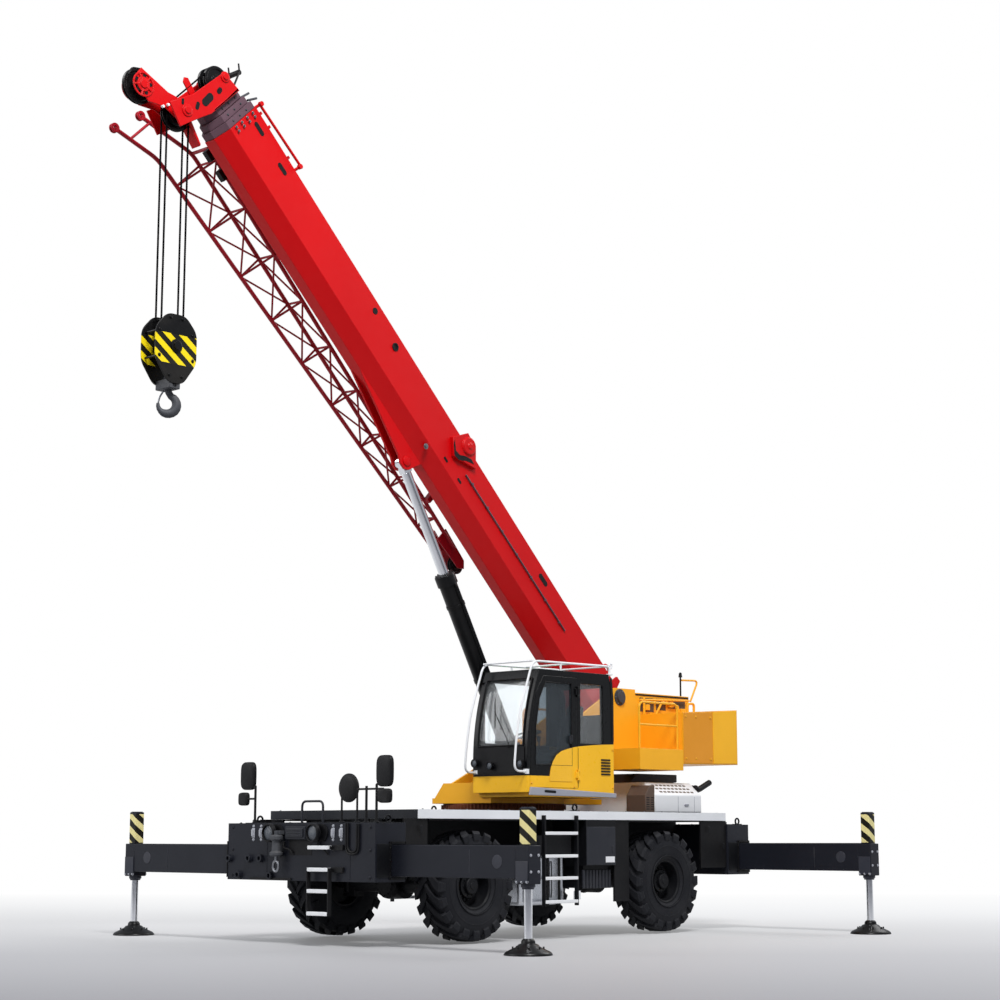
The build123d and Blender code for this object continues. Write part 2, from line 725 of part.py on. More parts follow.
# ---- boom ----------------------------------------------------------------------------------------
sections = {
    # name: (rear station, tip station, inset, inset of the collar or 0 for none)
    "boom_base": (boom_rear, boom_tip, 0),
    "boom_section_2": (section_rear, boom_tip + section_step, section_inset),
    "boom_section_3": (section_rear + section_rear_step, boom_tip + 2 * section_step, 2 * section_inset),
    "boom_section_4": (section_rear + 2 * section_rear_step, head_rear - 5, 3 * section_inset),
}
for section_name, (rear_s, tip_s, inset) in sections.items():
    with BuildPart() as section:
        extrude(boom_outline(rear_s, inset), amount=tip_s - rear_s)
        extrude(boom_outline(rear_s, inset + boom_wall), amount=tip_s - rear_s, mode=Mode.SUBTRACT)
        if section_name != "boom_section_4":
            pad_inset = inset + section_inset - seat_gap
            extrude(boom_outline(tip_s - pad_length, inset), amount=pad_length)
            extrude(boom_outline(tip_s - pad_length, pad_inset), amount=pad_length, mode=Mode.SUBTRACT)
        if inset:
            extrude(boom_outline(tip_s - collar_length, inset - collar_proud), amount=collar_length)
            collar_bore = inset + (boom_wall if section_name == "boom_section_4" else section_inset - seat_gap)
            extrude(boom_outline(tip_s - collar_length, collar_bore), amount=collar_length, mode=Mode.SUBTRACT)
        if section_name == "boom_base":
            extrude(disc(boom_side(), (0, 0), foot_boss_radius), amount=foot_boss_half, both=True)
            extrude(disc(boom_side(), (0, 0), foot_pin_radius + pin_gap), amount=foot_boss_half, both=True, mode=Mode.SUBTRACT)
            for side in sides.values():
                extrude(
                    outline(boom_side(side * (eye_half + running_gap + cheek_plate / 2)), gusset_outline),
                    amount=cheek_plate / 2, both=True,
                )
            extrude(
                disc(boom_side(), (cylinder_eye_s, cylinder_eye_n), rod_pin_radius),
                amount=eye_half + running_gap + cheek_plate, both=True,
            )
    save(section, section_name)

with BuildPart() as boom_head:
    extrude(
        outline(boom_across(head_rear - 5), [
            (-head_half, 70), (-head_half, -500), (-120, -575), (120, -575), (head_half, -500), (head_half, 70),
        ]),
        amount=head_plate,
    )
    for side in sides.values():
        extrude(
            outline(boom_side(side * (head_half - head_plate / 2)), [
                (head_rear - 5, boom_top - 2 * section_inset - 40), (11385, 20), (11432, -667), (11553, -1078),
                (11214, -1156), (11113, -719), (head_rear - 5, -570),
            ]),
            amount=head_plate / 2, both=True,
        )
        extrude(
            outline(boom_side(side * (nose_half + 10)), [
                (11330, -250), (11470, -250), (12040, -1060), (12010, -1230), (11860, -1260), (11790, -1180),
                (11330, -380),
            ]),
            amount=10, both=True,
        )
    shafts = {
        # name: (station, height, radius, half length)
        "lower sheaves": (head_sheave_s, head_sheave_n, 40, head_half + 15),
        "upper sheaves": (top_sheave_s, top_sheave_n, 40, head_half + 15),
        "nose sheave": (nose_s, nose_n, 40, nose_half + 35),
        "nose root": (11380, -330, 45, head_half),
    }
    for shaft_s, shaft_n, shaft_radius, shaft_half in shafts.values():
        extrude(disc(boom_side(), (shaft_s, shaft_n), shaft_radius), amount=shaft_half, both=True)
save(boom_head, "boom_head")

sheaves = {
    # name: (station, height, radius, places along the shaft)
    "lower": (head_sheave_s, head_sheave_n, sheave_radius, (-rope_pitch / 2, rope_pitch / 2)),
    "upper": (top_sheave_s, top_sheave_n, top_sheave_radius, (-rope_pitch / 2, rope_pitch / 2)),
    "nose": (nose_s, nose_n, nose_radius, (0,)),
}
with BuildPart() as head_sheaves:
    for sheave_s, sheave_n, radius, places in sheaves.values():
        for place_x in places:
            plane = boom_side(place_x)
            extrude(disc(plane, (sheave_s, sheave_n), radius), amount=sheave_thickness / 2, both=True)
            extrude(
                disc(plane, (sheave_s, sheave_n), 40 + pin_gap), amount=sheave_thickness / 2, both=True,
                mode=Mode.SUBTRACT,
            )
save(head_sheaves, "head_sheaves")

with BuildPart() as fly_jib:
    jib_corners = [(jib_inner_x, jib_high), (jib_outer_x, jib_high), (jib_outer_x, jib_low), (jib_inner_x, jib_low)]
    jib_tips = [(jib_inner_x, jib_tip_high), (jib_outer_x, jib_tip_high), (jib_outer_x, jib_tip_low), (jib_inner_x, jib_tip_low)]
    for (x0, n0), (x1, n1) in zip(jib_corners, jib_tips):
        bar(boom_place(x0, jib_heel_s, n0), boom_place(x1, jib_tip_s, n1), jib_chord_radius)
    for panel in range(jib_panels + 1):
        share = panel / jib_panels
        ring = [
            boom_place(x0 + (x1 - x0) * share, jib_heel_s + (jib_tip_s - jib_heel_s) * share, n0 + (n1 - n0) * share)
            for (x0, n0), (x1, n1) in zip(jib_corners, jib_tips)
        ]
        for corner, (near, far) in enumerate(zip(ring, ring[1:] + ring[:1])):
            bar(near, far, jib_brace_radius if corner % 2 else jib_brace_radius - 4)
    for bracket_s in jib_brackets_s:
        share = (bracket_s - jib_heel_s) / (jib_tip_s - jib_heel_s)
        chord_n = jib_high + (jib_tip_high - jib_high) * share
        extrude(
            outline(boom_side((jib_inner_x - boom_half) / 2), [
                (bracket_s - 50, boom_bend + 40), (bracket_s + 50, boom_bend + 40), (bracket_s + 30, chord_n),
                (bracket_s - 30, chord_n),
            ]),
            amount=-(jib_inner_x + boom_half) / 2, both=True,
        )
save(fly_jib, "fly_jib")

# ---- lift cylinder -------------------------------------------------------------------------------
cylinder_foot = Vector(0, along(cylinder_y), cylinder_z)
cylinder_eye = boom_place(0, cylinder_eye_s, cylinder_eye_n)
cylinder_run = cylinder_eye - cylinder_foot
cylinder_length = cylinder_run.length
cylinder_axis = cylinder_run / cylinder_length
with BuildPart() as lift_cylinder_barrel:
    bar(cylinder_foot, cylinder_foot + cylinder_axis * barrel_length, barrel_radius)
    extrude(disc(side_view(), (cylinder_y, cylinder_z), barrel_eye_radius), amount=barrel_eye_half, both=True)
    with Locations(Plane(origin=cylinder_foot + cylinder_axis * bore_bottom, z_dir=cylinder_axis).location):
        Cylinder(
            barrel_bore, barrel_length - bore_bottom - gland_length,
            align=(Align.CENTER, Align.CENTER, Align.MIN), mode=Mode.SUBTRACT,
        )
        Cylinder(
            rod_radius + seat_gap, barrel_length, align=(Align.CENTER, Align.CENTER, Align.MIN), mode=Mode.SUBTRACT,
        )
save(lift_cylinder_barrel, "lift_cylinder_barrel")

with BuildPart() as lift_cylinder_rod:
    bar(cylinder_eye - cylinder_axis * rod_neck, cylinder_eye - cylinder_axis * rod_length, rod_radius)
    extrude(disc(boom_side(), (cylinder_eye_s, cylinder_eye_n), eye_radius), amount=eye_half, both=True)
    with Locations(Plane(origin=cylinder_eye, x_dir=(1, 0, 0), z_dir=-cylinder_axis).location):
        Box(2 * eye_half, 1.4 * eye_radius, rod_neck, align=(Align.CENTER, Align.CENTER, Align.MIN))
    extrude(
        disc(boom_side(), (cylinder_eye_s, cylinder_eye_n), rod_pin_radius + pin_gap), amount=eye_half, both=True,
        mode=Mode.SUBTRACT,
    )
save(lift_cylinder_rod, "lift_cylinder_rod")

# ---- hoist rope falls, hook block and hook -------------------------------------------------------
sheave_centre = boom_place(0, head_sheave_s, head_sheave_n)
rope_y = sheave_radius + rope_radius + seat_gap
with BuildPart() as rope_falls:
    for rope_x in (-rope_pitch / 2, rope_pitch / 2):
        for side in sides.values():
            with Locations((rope_x, sheave_centre.Y + side * rope_y, block_z)):
                Cylinder(rope_radius, sheave_centre.Z - block_z, align=(Align.CENTER, Align.CENTER, Align.MIN))
save(rope_falls, "rope_falls")

block_plane = Plane(origin=(0, sheave_centre.Y, block_z), x_dir=(0, 1, 0), z_dir=(1, 0, 0))
with BuildPart() as hook_block:
    for side in sides.values():
        cheek_x = side * (rope_pitch / 2 + sheave_thickness / 2 + running_gap + block_plate / 2)
        extrude(
            outline(block_plane.offset(cheek_x), [
                (-block_half, -200), (-block_half, 220), (-150, block_top), (150, block_top), (block_half, 220),
                (block_half, -200), (120, block_bottom), (-120, block_bottom),
            ]),
            amount=block_plate / 2, both=True,
        )
    extrude(disc(block_plane, (0, 0), 40), amount=rope_pitch / 2 + sheave_thickness / 2 + running_gap, both=True)
    for rope_x in (-rope_pitch / 2, rope_pitch / 2):
        extrude(disc(block_plane.offset(rope_x), (0, 0), sheave_radius), amount=sheave_thickness / 2, both=True)
    with Locations((0, sheave_centre.Y, block_z + block_bottom)):
        Box(crosshead_width, crosshead_depth, crosshead_height)
        Cylinder(shank_radius + seat_gap, crosshead_height, mode=Mode.SUBTRACT)
save(hook_block, "hook_block")

hook_plane = Plane(origin=(0, sheave_centre.Y, hook_bottom_z + hook_outer_radius), x_dir=(-0.5, -0.866, 0), z_dir=(0.866, -0.5, 0))
with BuildPart() as hook:
    with BuildSketch(hook_plane) as hook_sketch:
        Circle(hook_outer_radius)
        Circle(hook_inner_radius, mode=Mode.SUBTRACT)
        with BuildLine():
            Polyline((0, 0), (300, 60), (300, 300), (30, 300), close=True)
        make_face(mode=Mode.SUBTRACT)
    extrude(amount=hook_thickness / 2, both=True)
    with Locations((0, sheave_centre.Y, hook_bottom_z + 2 * hook_outer_radius - 40)):
        Cylinder(
            shank_radius, block_z + block_bottom + crosshead_height / 2 + 40 - hook_bottom_z - 2 * hook_outer_radius + 40,
            align=(Align.CENTER, Align.CENTER, Align.MIN),
        )
    with Locations((0, sheave_centre.Y, block_z + block_bottom + crosshead_height / 2 + seat_gap)):
        Cylinder(shank_radius + 22, 40, align=(Align.CENTER, Align.CENTER, Align.MIN))
save(hook, "hook")

# ---- carrier fittings ----------------------------------------------------------------------------
hood_half = carrier_width / 2 - hood_margin
with BuildPart() as engine_hood:
    extrude(
        outline(Plane.XY.offset(deck_top_z), [
            (hood_half, along(hood_front_y)), (hood_half, along(hood_rear_y)), (-hood_half, along(hood_rear_y)),
            (-hood_half, along(hood_front_y)), (-900, along(hood_front_y + 220)), (900, along(hood_front_y + 220)),
        ]),
        amount=hood_top_z - deck_top_z,
    )
    with Locations((0, along((hood_front_y + 490 + hood_rear_y) / 2), hood_top_z)):
        Box(1200, hood_rear_y - hood_front_y - 490, slab_top_z - hood_top_z, align=(Align.CENTER, Align.CENTER, Align.MIN))
    extrude(
        outline(Plane.XY.offset(deck_top_z), [
            (hood_half - hood_wall, along(hood_front_y + 260 + hood_wall)), (hood_half - hood_wall, along(hood_rear_y - hood_wall)),
            (-hood_half + hood_wall, along(hood_rear_y - hood_wall)), (-hood_half + hood_wall, along(hood_front_y + 260 + hood_wall)),
        ]),
        amount=hood_top_z - hood_wall - deck_top_z, mode=Mode.SUBTRACT,
    )
save(engine_hood, "engine_hood")

with BuildPart() as engine_block:
    with Locations((0, along(2640), deck_top_z)):
        Box(900, 900, 380, align=(Align.CENTER, Align.CENTER, Align.MIN))
save(engine_block, "engine_block")

with BuildPart() as driveline:
    with Locations((0, along(0), axle_z)):
        Box(420, 700, 400)
    with Locations((0, along(0), (axle_z + 200 + frame_bottom_z) / 2)):
        Box(300, 500, frame_bottom_z - axle_z - 200)
    for end_sign in ends.values():
        shaft_start_y = end_sign * 350
        shaft_end_y = end_sign * (wheelbase / 2 - axle_bulge_radius)
        bar(Vector(0, along(shaft_start_y), axle_z), Vector(0, along(shaft_end_y), axle_z), 55)
save(driveline, "driveline")

tank_middle_x = carrier_width / 2 - tank_margin - tank_width / 2
with BuildPart() as fuel_tank:
    with Locations((tank_middle_x, along(tank_y), tank_z)):
        Box(tank_width, tank_length, tank_height)
    for strap_y in tank_strap_y:
        with Locations((frame_half, along(strap_y), frame_bottom_z + 15)):
            Box(tank_middle_x - frame_half, 80, 120, align=(Align.MIN, Align.CENTER, Align.MIN))
save(fuel_tank, "fuel_tank")

with BuildPart() as side_cabinets:
    for side in sides.values():
        cabinet_x = side * (carrier_width - cabinet_width) / 2
        with Locations((cabinet_x, along(cabinet_y), (cabinet_bottom_z + deck_bottom_z) / 2)):
            Box(cabinet_width, cabinet_length, deck_bottom_z - cabinet_bottom_z)
        step_box_x = side * ((carrier_width - step_box_width) / 2 - step_box_margin)
        with Locations((step_box_x, along(cabinet_y), cabinet_bottom_z - step_box_height / 2)):
            Box(step_box_width, step_box_length, step_box_height)
save(side_cabinets, "side_cabinets")

with BuildPart() as exhaust_stack:
    with Locations((carrier_width / 2 - exhaust_margin, along(exhaust_y), deck_top_z)):
        Cylinder(75, 330, align=(Align.CENTER, Align.CENTER, Align.MIN))
        Cylinder(50, 500, align=(Align.CENTER, Align.CENTER, Align.MIN))
save(exhaust_stack, "exhaust_stack")

ladders = {
    # name: (middle x, middle y, turn, width, top z, rung heights)
    "left": (carrier_width / 2 + ladder_reach, -360, 90, 620, deck_bottom_z + 60, (530, 850, 1170, 1470)),
    "right": (-carrier_width / 2 - ladder_reach, -360, 90, 620, deck_bottom_z + 60, (530, 850, 1170, 1470)),
    "front": (420, frame_front_y - ladder_reach, 0, 540, beam_box_top_z - 60, (430, 715, 1000, 1280)),
}
with BuildPart() as access_ladders:
    for ladder_x, ladder_y, turn, width, top_z, rungs in ladders.values():
        place = Location((ladder_x, along(ladder_y), 0), (0, 0, turn))
        with Locations(place):
            for side in sides.values():
                with Locations((side * width / 2, 0, (rungs[0] + top_z) / 2)):
                    Box(30, 2 * ladder_reach, top_z - rungs[0] + 60)
            for rung_z in rungs:
                with Locations((0, 0, rung_z)):
                    Box(width, 2 * ladder_reach, 30)
save(access_ladders, "access_ladders")

mirrors = {
    # name: (foot x, foot y, foot z, head x, head y, head z, width, height)
    "left": (1300, -3700, beam_box_top_z, 1500, -3780, 2250, 220, 380),
    "right": (-1150, -3800, beam_box_top_z, -1200, -3830, 2250, 220, 380),
    "middle": (800, -3800, beam_box_top_z, 900, -3830, 2060, 260, 260),
}
with BuildPart() as mirror_arms:
    for foot_x, foot_arm_y, foot_arm_z, head_x, head_y, head_z, width, height in mirrors.values():
        elbow = Vector(foot_x, along(foot_arm_y), head_z)
        bar(Vector(foot_x, along(foot_arm_y), foot_arm_z), elbow, 18)
        bar(elbow, Vector(head_x, along(head_y), head_z), 18)
        with Locations((head_x, along(head_y), head_z)):
            Box(width, 60, height)
save(mirror_arms, "mirrors")

with BuildPart() as lamps:
    for side in sides.values():
        for lamp_z in lamp_heights:
            lamp_x = side * (carrier_width / 2 - lamp_margin)
            with Locations(Location((lamp_x, along(frame_front_y), lamp_z), (90, 0, 0))):
                Cylinder(lamp_radius, lamp_depth, align=(Align.CENTER, Align.CENTER, Align.MIN))
save(lamps, "lamps")

with BuildPart() as auxiliary_hook:
    with Locations((-350, along(frame_front_y - 110), 1300)):
        Cylinder(105, 330)
        Cylinder(30, 660)
    with Locations((-350, along(frame_front_y - 55), 1480)):
        Box(120, 110, 60)
save(auxiliary_hook, "auxiliary_hook")

with BuildPart() as deck_rails:
    for rail_x in (-420, 20):
        bar(Vector(rail_x, along(frame_front_y + 260), beam_box_top_z), Vector(rail_x, along(frame_front_y + 260), 1900), rail_radius)
    bar(Vector(-420, along(frame_front_y + 260), 1900), Vector(20, along(frame_front_y + 260), 1900), rail_radius)
    for side in sides.values():
        for eye_y in (-2700, 1300):
            for leg in (-60, 60):
                bar(
                    Vector(side * 1440, along(eye_y + leg), deck_top_z), Vector(side * 1440, along(eye_y + leg), deck_top_z + 110),
                    rail_radius,
                )
            bar(
                Vector(side * 1440, along(eye_y - 60), deck_top_z + 110), Vector(side * 1440, along(eye_y + 60), deck_top_z + 110),
                rail_radius,
            )
save(deck_rails, "deck_rails")
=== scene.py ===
"""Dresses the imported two-axle crane: finishes, fine parts, camera, light and floor."""

import json
import logging
import math
from collections.abc import Callable, Iterable, Sequence
from dataclasses import dataclass, field
from enum import Enum

import bmesh
import bpy
from mathutils import Matrix, Vector


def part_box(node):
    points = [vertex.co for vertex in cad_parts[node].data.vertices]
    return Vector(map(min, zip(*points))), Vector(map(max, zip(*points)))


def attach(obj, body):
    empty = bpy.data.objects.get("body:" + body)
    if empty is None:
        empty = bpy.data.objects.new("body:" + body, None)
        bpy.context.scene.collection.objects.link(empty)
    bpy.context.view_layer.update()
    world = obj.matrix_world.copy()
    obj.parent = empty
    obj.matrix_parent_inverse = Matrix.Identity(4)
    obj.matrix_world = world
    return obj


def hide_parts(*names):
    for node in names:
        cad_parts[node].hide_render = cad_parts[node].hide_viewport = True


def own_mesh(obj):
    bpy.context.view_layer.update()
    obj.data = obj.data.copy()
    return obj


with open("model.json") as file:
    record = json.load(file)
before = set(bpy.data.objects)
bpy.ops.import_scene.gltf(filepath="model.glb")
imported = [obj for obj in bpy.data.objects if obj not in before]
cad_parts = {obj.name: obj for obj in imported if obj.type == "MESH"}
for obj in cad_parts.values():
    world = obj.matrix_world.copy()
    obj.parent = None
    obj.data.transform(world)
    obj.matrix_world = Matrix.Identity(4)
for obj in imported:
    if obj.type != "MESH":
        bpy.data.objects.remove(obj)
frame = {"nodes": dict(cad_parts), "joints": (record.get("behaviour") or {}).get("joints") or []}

log = logging.getLogger("crane")
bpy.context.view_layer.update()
joints = {joint["name"]: joint for joint in frame["joints"]}

Point = tuple[float, float]
Node = bpy.types.ShaderNode
Socket = bpy.types.NodeSocket


# ---- places --------------------------------------------------------------------------------------
X_AXIS = Vector((1, 0, 0))
Y_AXIS = Vector((0, 1, 0))
Z_AXIS = Vector((0, 0, 1))
SIDES = {"l": 1, "r": -1}
SIGNS = (1, -1)
ENDS = ("f", "r")
SPOTS = {end + name: side for end in ENDS for name, side in SIDES.items()}


@dataclass(frozen=True)
class Sheet:
    """A flat plane whose u and v give points of the frame; v is read downwards where flip is -1."""

    origin: Vector
    u: Vector
    v: Vector
    flip: int = 1

    @property
    def normal(self) -> Vector:
        """Direction square to the plane."""
        return self.u.cross(self.v)

    def at(self, u: float, v: float, out: float = 0.0) -> Vector:
        """Point at local place (u, v), raised by out along the normal."""
        return self.origin + self.u * u + self.v * (v * self.flip) + self.normal * out

    def moved(self, out: float) -> "Sheet":
        """The same plane, shifted along its normal."""
        return Sheet(self.origin + self.normal * out, self.u, self.v, self.flip)


def middle_of(node: str) -> Vector:
    """Middle of a CAD node's box."""
    low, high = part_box(node)
    return (low + high) / 2


def pivot(joint: str) -> Vector:
    """Place of a joint's axis at rest."""
    return Vector(joints[joint]["pos_m"])


OVAL_STEPS = 8
BEAM_Z = 1.117
BOX_TOP = 1.607
BARREL_FOOT = (0.35, 2.5)
BOOM_FOOT = pivot("boom_luff")
BOOM_RUN = Vector(joints["boom_extend_2"]["axis"]).normalized()
BOOM_UP = Vector((0, BOOM_RUN.z, -BOOM_RUN.y))
BOOM_TURN = Matrix.Rotation(math.radians(45), 3, "X")
WHEELBASE_MIDDLE = (middle_of("tyre_fl").y + middle_of("tyre_rl").y) / 2


def along(y: float) -> float:
    """Y in the frame of a place counted from the middle of the wheelbase."""
    return WHEELBASE_MIDDLE + y


def spot(x: float, y: float, z: float) -> Vector:
    """Point of the frame, its Y counted from the middle of the wheelbase."""
    return Vector((x, along(y), z))


def angles(count: int, start: float = 0.0) -> list[float]:
    """Equal steps around a full turn, in radians."""
    return [2 * math.pi * step / count + start for step in range(count)]


def circle(
    centre: Vector, radius: float, count: int, u: Vector = Y_AXIS, v: Vector = Z_AXIS, start: float = 0.0,
) -> list[Vector]:
    """Points spread evenly around a centre, in the plane of u and v."""
    return [centre + (u * math.cos(a) + v * math.sin(a)) * radius for a in angles(count, start)]


def side_sheet(x: float) -> Sheet:
    """Plane parallel to the vehicle's side: u runs to the rear from the wheelbase's middle."""
    return Sheet(spot(x, 0, 0), Y_AXIS, Z_AXIS)


def front_sheet(y: float) -> Sheet:
    """Plane facing the front at Y of the frame: u runs to the left side."""
    return Sheet(Vector((0, y, 0)), X_AXIS, Z_AXIS)


def boom_sheet(x: float) -> Sheet:
    """Plane parallel to the boom's side: u is the station from the foot pin, v the height."""
    return Sheet(BOOM_FOOT + X_AXIS * x, BOOM_RUN, BOOM_UP)


def boom_across(station: float) -> Sheet:
    """Plane square to the boom: u runs to the left side and v is the height."""
    return Sheet(BOOM_FOOT + BOOM_RUN * station, X_AXIS, BOOM_UP)


# ---- shader groups -------------------------------------------------------------------------------
class Effect(Enum):
    """Surface effects that several finishes share, one shader node group each."""

    WEATHER = "weather"
    EDGES = "edges"
    STRIPES = "stripes"


class NodeTree:
    """Short calls for adding and joining shader nodes."""

    def __init__(self, tree: bpy.types.NodeTree) -> None:
        """Keeps the tree that the calls add to."""
        self.tree = tree

    def add(self, kind: str, **values: object) -> Node:
        """Adds a node and sets its properties.

        Args:
            kind: Blender's name of the node, without "ShaderNode".
            values: Properties of the node.

        Returns:
            The new node.
        """
        node = self.tree.nodes.new(f"ShaderNode{kind}")
        for name, value in values.items():
            setattr(node, name, value)
        return node

    def join(self, source: Socket | float | Sequence[float], target: Socket) -> None:
        """Links a socket to another, or sets the other's own value.

        Args:
            source: An output socket, or a plain value.
            target: The input socket.
        """
        if isinstance(source, bpy.types.NodeSocket):
            self.tree.links.new(source, target)
        else:
            target.default_value = source

    def math(self, kind: str, *values: Socket | float, clamp: bool = False) -> Socket:
        """Adds a Math node on sockets or numbers and returns its result."""
        node = self.add("Math", operation=kind, use_clamp=clamp)
        for value, target in zip(values, node.inputs):
            self.join(value, target)
        return node.outputs[0]

    def spread(self, value: Socket, low: float, high: float, to: Point = (0.0, 1.0)) -> Socket:
        """Adds a Map Range node from low..high to another range and returns its result."""
        node = self.add("MapRange", clamp=True)
        self.join(value, node.inputs[0])
        for number, target in zip((low, high, *to), node.inputs[1:5]):
            target.default_value = number
        return node.outputs[0]

    def mix(self, share: Socket | float, first: object, second: object) -> Socket:
        """Adds a colour Mix node and returns its result."""
        node = self.add("Mix", data_type="RGBA")
        self.join(share, node.inputs["Factor"])
        self.join(first, node.inputs[6])
        self.join(second, node.inputs[7])
        return node.outputs[2]

    def noise(self, place: Socket, scale: Socket | float, detail: float = 4.0) -> Socket:
        """Adds a Noise texture on a place and returns its strength."""
        node = self.add("TexNoise")
        self.join(place, node.inputs["Vector"])
        self.join(scale, node.inputs["Scale"])
        node.inputs["Detail"].default_value = detail
        return node.outputs[0]

    def place(self) -> Socket:
        """The point in the piece's own coordinates."""
        return self.add("TexCoord").outputs["Object"]


def new_group(name: str, sockets: Iterable[tuple[str, str, str]]) -> tuple[NodeTree, Node, Node]:
    """Starts a shader node group with named sockets.

    Args:
        name: Name of the group.
        sockets: Rows of (socket name, "INPUT" or "OUTPUT", kind of socket).

    Returns:
        The group's tree, its input node and its output node.
    """
    tree = bpy.data.node_groups.new(name, "ShaderNodeTree")
    for socket_name, way, kind in sockets:
        tree.interface.new_socket(socket_name, in_out=way, socket_type=f"NodeSocket{kind}")
    nodes = NodeTree(tree)
    return nodes, nodes.tree.nodes.new("NodeGroupInput"), nodes.tree.nodes.new("NodeGroupOutput")


def weather_group() -> bpy.types.NodeTree:
    """Dust that lies on upward faces, patchy colour and uneven gloss."""
    nodes, given, made = new_group(
        Effect.WEATHER.value,
        [
            ("Colour", "INPUT", "Color"), ("Dust", "INPUT", "Color"), ("Dust amount", "INPUT", "Float"),
            ("Scale", "INPUT", "Float"), ("Roughness", "INPUT", "Float"), ("Colour", "OUTPUT", "Color"),
            ("Roughness", "OUTPUT", "Float"), ("Height", "OUTPUT", "Float"),
        ],
    )
    place = nodes.place()
    patches = nodes.noise(place, given.outputs["Scale"], 5)
    grain = nodes.noise(place, nodes.math("MULTIPLY", given.outputs["Scale"], 14.0), 3)
    facing = nodes.add("SeparateXYZ")
    nodes.join(nodes.add("NewGeometry").outputs["Normal"], facing.inputs[0])
    upward = nodes.spread(facing.outputs[2], -0.2, 1.0, (0.25, 1.0))
    dusty = nodes.math("MULTIPLY", nodes.spread(patches, 0.42, 0.68), upward)
    dust = nodes.math("MULTIPLY", dusty, given.outputs["Dust amount"], clamp=True)
    tone = nodes.add("HueSaturation")
    nodes.join(nodes.spread(patches, 0.3, 0.7, (0.95, 1.05)), tone.inputs["Value"])
    nodes.join(given.outputs["Colour"], tone.inputs["Color"])
    nodes.join(nodes.mix(dust, tone.outputs[0], given.outputs["Dust"]), made.inputs["Colour"])
    gloss = nodes.math("ADD", given.outputs["Roughness"], nodes.spread(grain, 0.3, 0.7, (-0.04, 0.06)))
    nodes.join(
        nodes.math("ADD", gloss, nodes.math("MULTIPLY", dust, 0.4), clamp=True), made.inputs["Roughness"],
    )
    nodes.join(grain, made.inputs["Height"])
    return nodes.tree


def edges_group() -> bpy.types.NodeTree:
    """Edges that catch the light: a rounded normal, and a mask of where the paint is thin."""
    nodes, given, made = new_group(
        Effect.EDGES.value,
        [("Width", "INPUT", "Float"), ("Mask", "OUTPUT", "Float"), ("Normal", "OUTPUT", "Vector")],
    )
    rounded = nodes.add("Bevel", samples=4)
    nodes.join(given.outputs["Width"], rounded.inputs["Radius"])
    turn = nodes.add("VectorMath", operation="DOT_PRODUCT")
    nodes.join(rounded.outputs[0], turn.inputs[0])
    nodes.join(nodes.add("NewGeometry").outputs["Normal"], turn.inputs[1])
    edge = nodes.spread(turn.outputs["Value"], 0.995, 0.86)
    chips = nodes.spread(nodes.noise(nodes.place(), 9.0, 8), 0.5, 0.62)
    nodes.join(nodes.math("MULTIPLY", edge, chips), made.inputs["Mask"])
    nodes.join(rounded.outputs[0], made.inputs["Normal"])
    return nodes.tree


def stripes_group() -> bpy.types.NodeTree:
    """Slanted warning stripes: a mask that is 1 on every second stripe."""
    nodes, given, made = new_group(
        Effect.STRIPES.value,
        [
            ("Slope", "INPUT", "Vector"), ("Pitch", "INPUT", "Float"), ("Shift", "INPUT", "Float"),
            ("Mask", "OUTPUT", "Float"),
        ],
    )
    run = nodes.add("VectorMath", operation="DOT_PRODUCT")
    nodes.join(nodes.place(), run.inputs[0])
    nodes.join(given.outputs["Slope"], run.inputs[1])
    counted = nodes.math(
        "DIVIDE", nodes.math("ADD", run.outputs["Value"], given.outputs["Shift"]), given.outputs["Pitch"],
    )
    nodes.join(nodes.math("GREATER_THAN", nodes.math("FRACT", counted), 0.5), made.inputs["Mask"])
    return nodes.tree


GROUP_MAKERS = {Effect.WEATHER: weather_group, Effect.EDGES: edges_group, Effect.STRIPES: stripes_group}
made_groups: dict[Effect, bpy.types.NodeTree] = {}


def place_group(nodes: NodeTree, effect: Effect, **values: object) -> Node:
    """Puts a shared effect into a material.

    Args:
        nodes: The material's nodes.
        effect: Which effect.
        values: Its inputs, with _ in place of a space, as sockets or plain values.

    Returns:
        The group's node.
    """
    if effect not in made_groups:
        made_groups[effect] = GROUP_MAKERS[effect]()
    node = nodes.add("Group", node_tree=made_groups[effect])
    for name, value in values.items():
        nodes.join(value, node.inputs[name.replace("_", " ")])
    return node


# ---- finishes ------------------------------------------------------------------------------------
def linear(colour: str) -> tuple[float, float, float, float]:
    """Scene colour of a screen colour written as six hexadecimal digits."""
    parts = [int(colour[i:i + 2], 16) / 255 for i in (0, 2, 4)]
    return (*(((c + 0.055) / 1.055) ** 2.4 if c > 0.04045 else c / 12.92 for c in parts), 1.0)


@dataclass(frozen=True)
class Finish:
    """What every finish has: a name, the slot it belongs to, and a way to make its material."""

    name: str
    slot: str

    def material(self) -> bpy.types.Material:
        """The finish's material, made once."""
        found = bpy.data.materials.get(self.name)
        if found is None:
            found = bpy.data.materials.new(self.name)
            found.use_nodes = True
            nodes = NodeTree(found.node_tree)
            self.dress(nodes, found.node_tree.nodes["Principled BSDF"])
        return found

    def dress(self, nodes: NodeTree, shader: Node) -> None:
        """Sets up the shader. Each kind of finish has its own."""
        raise NotImplementedError


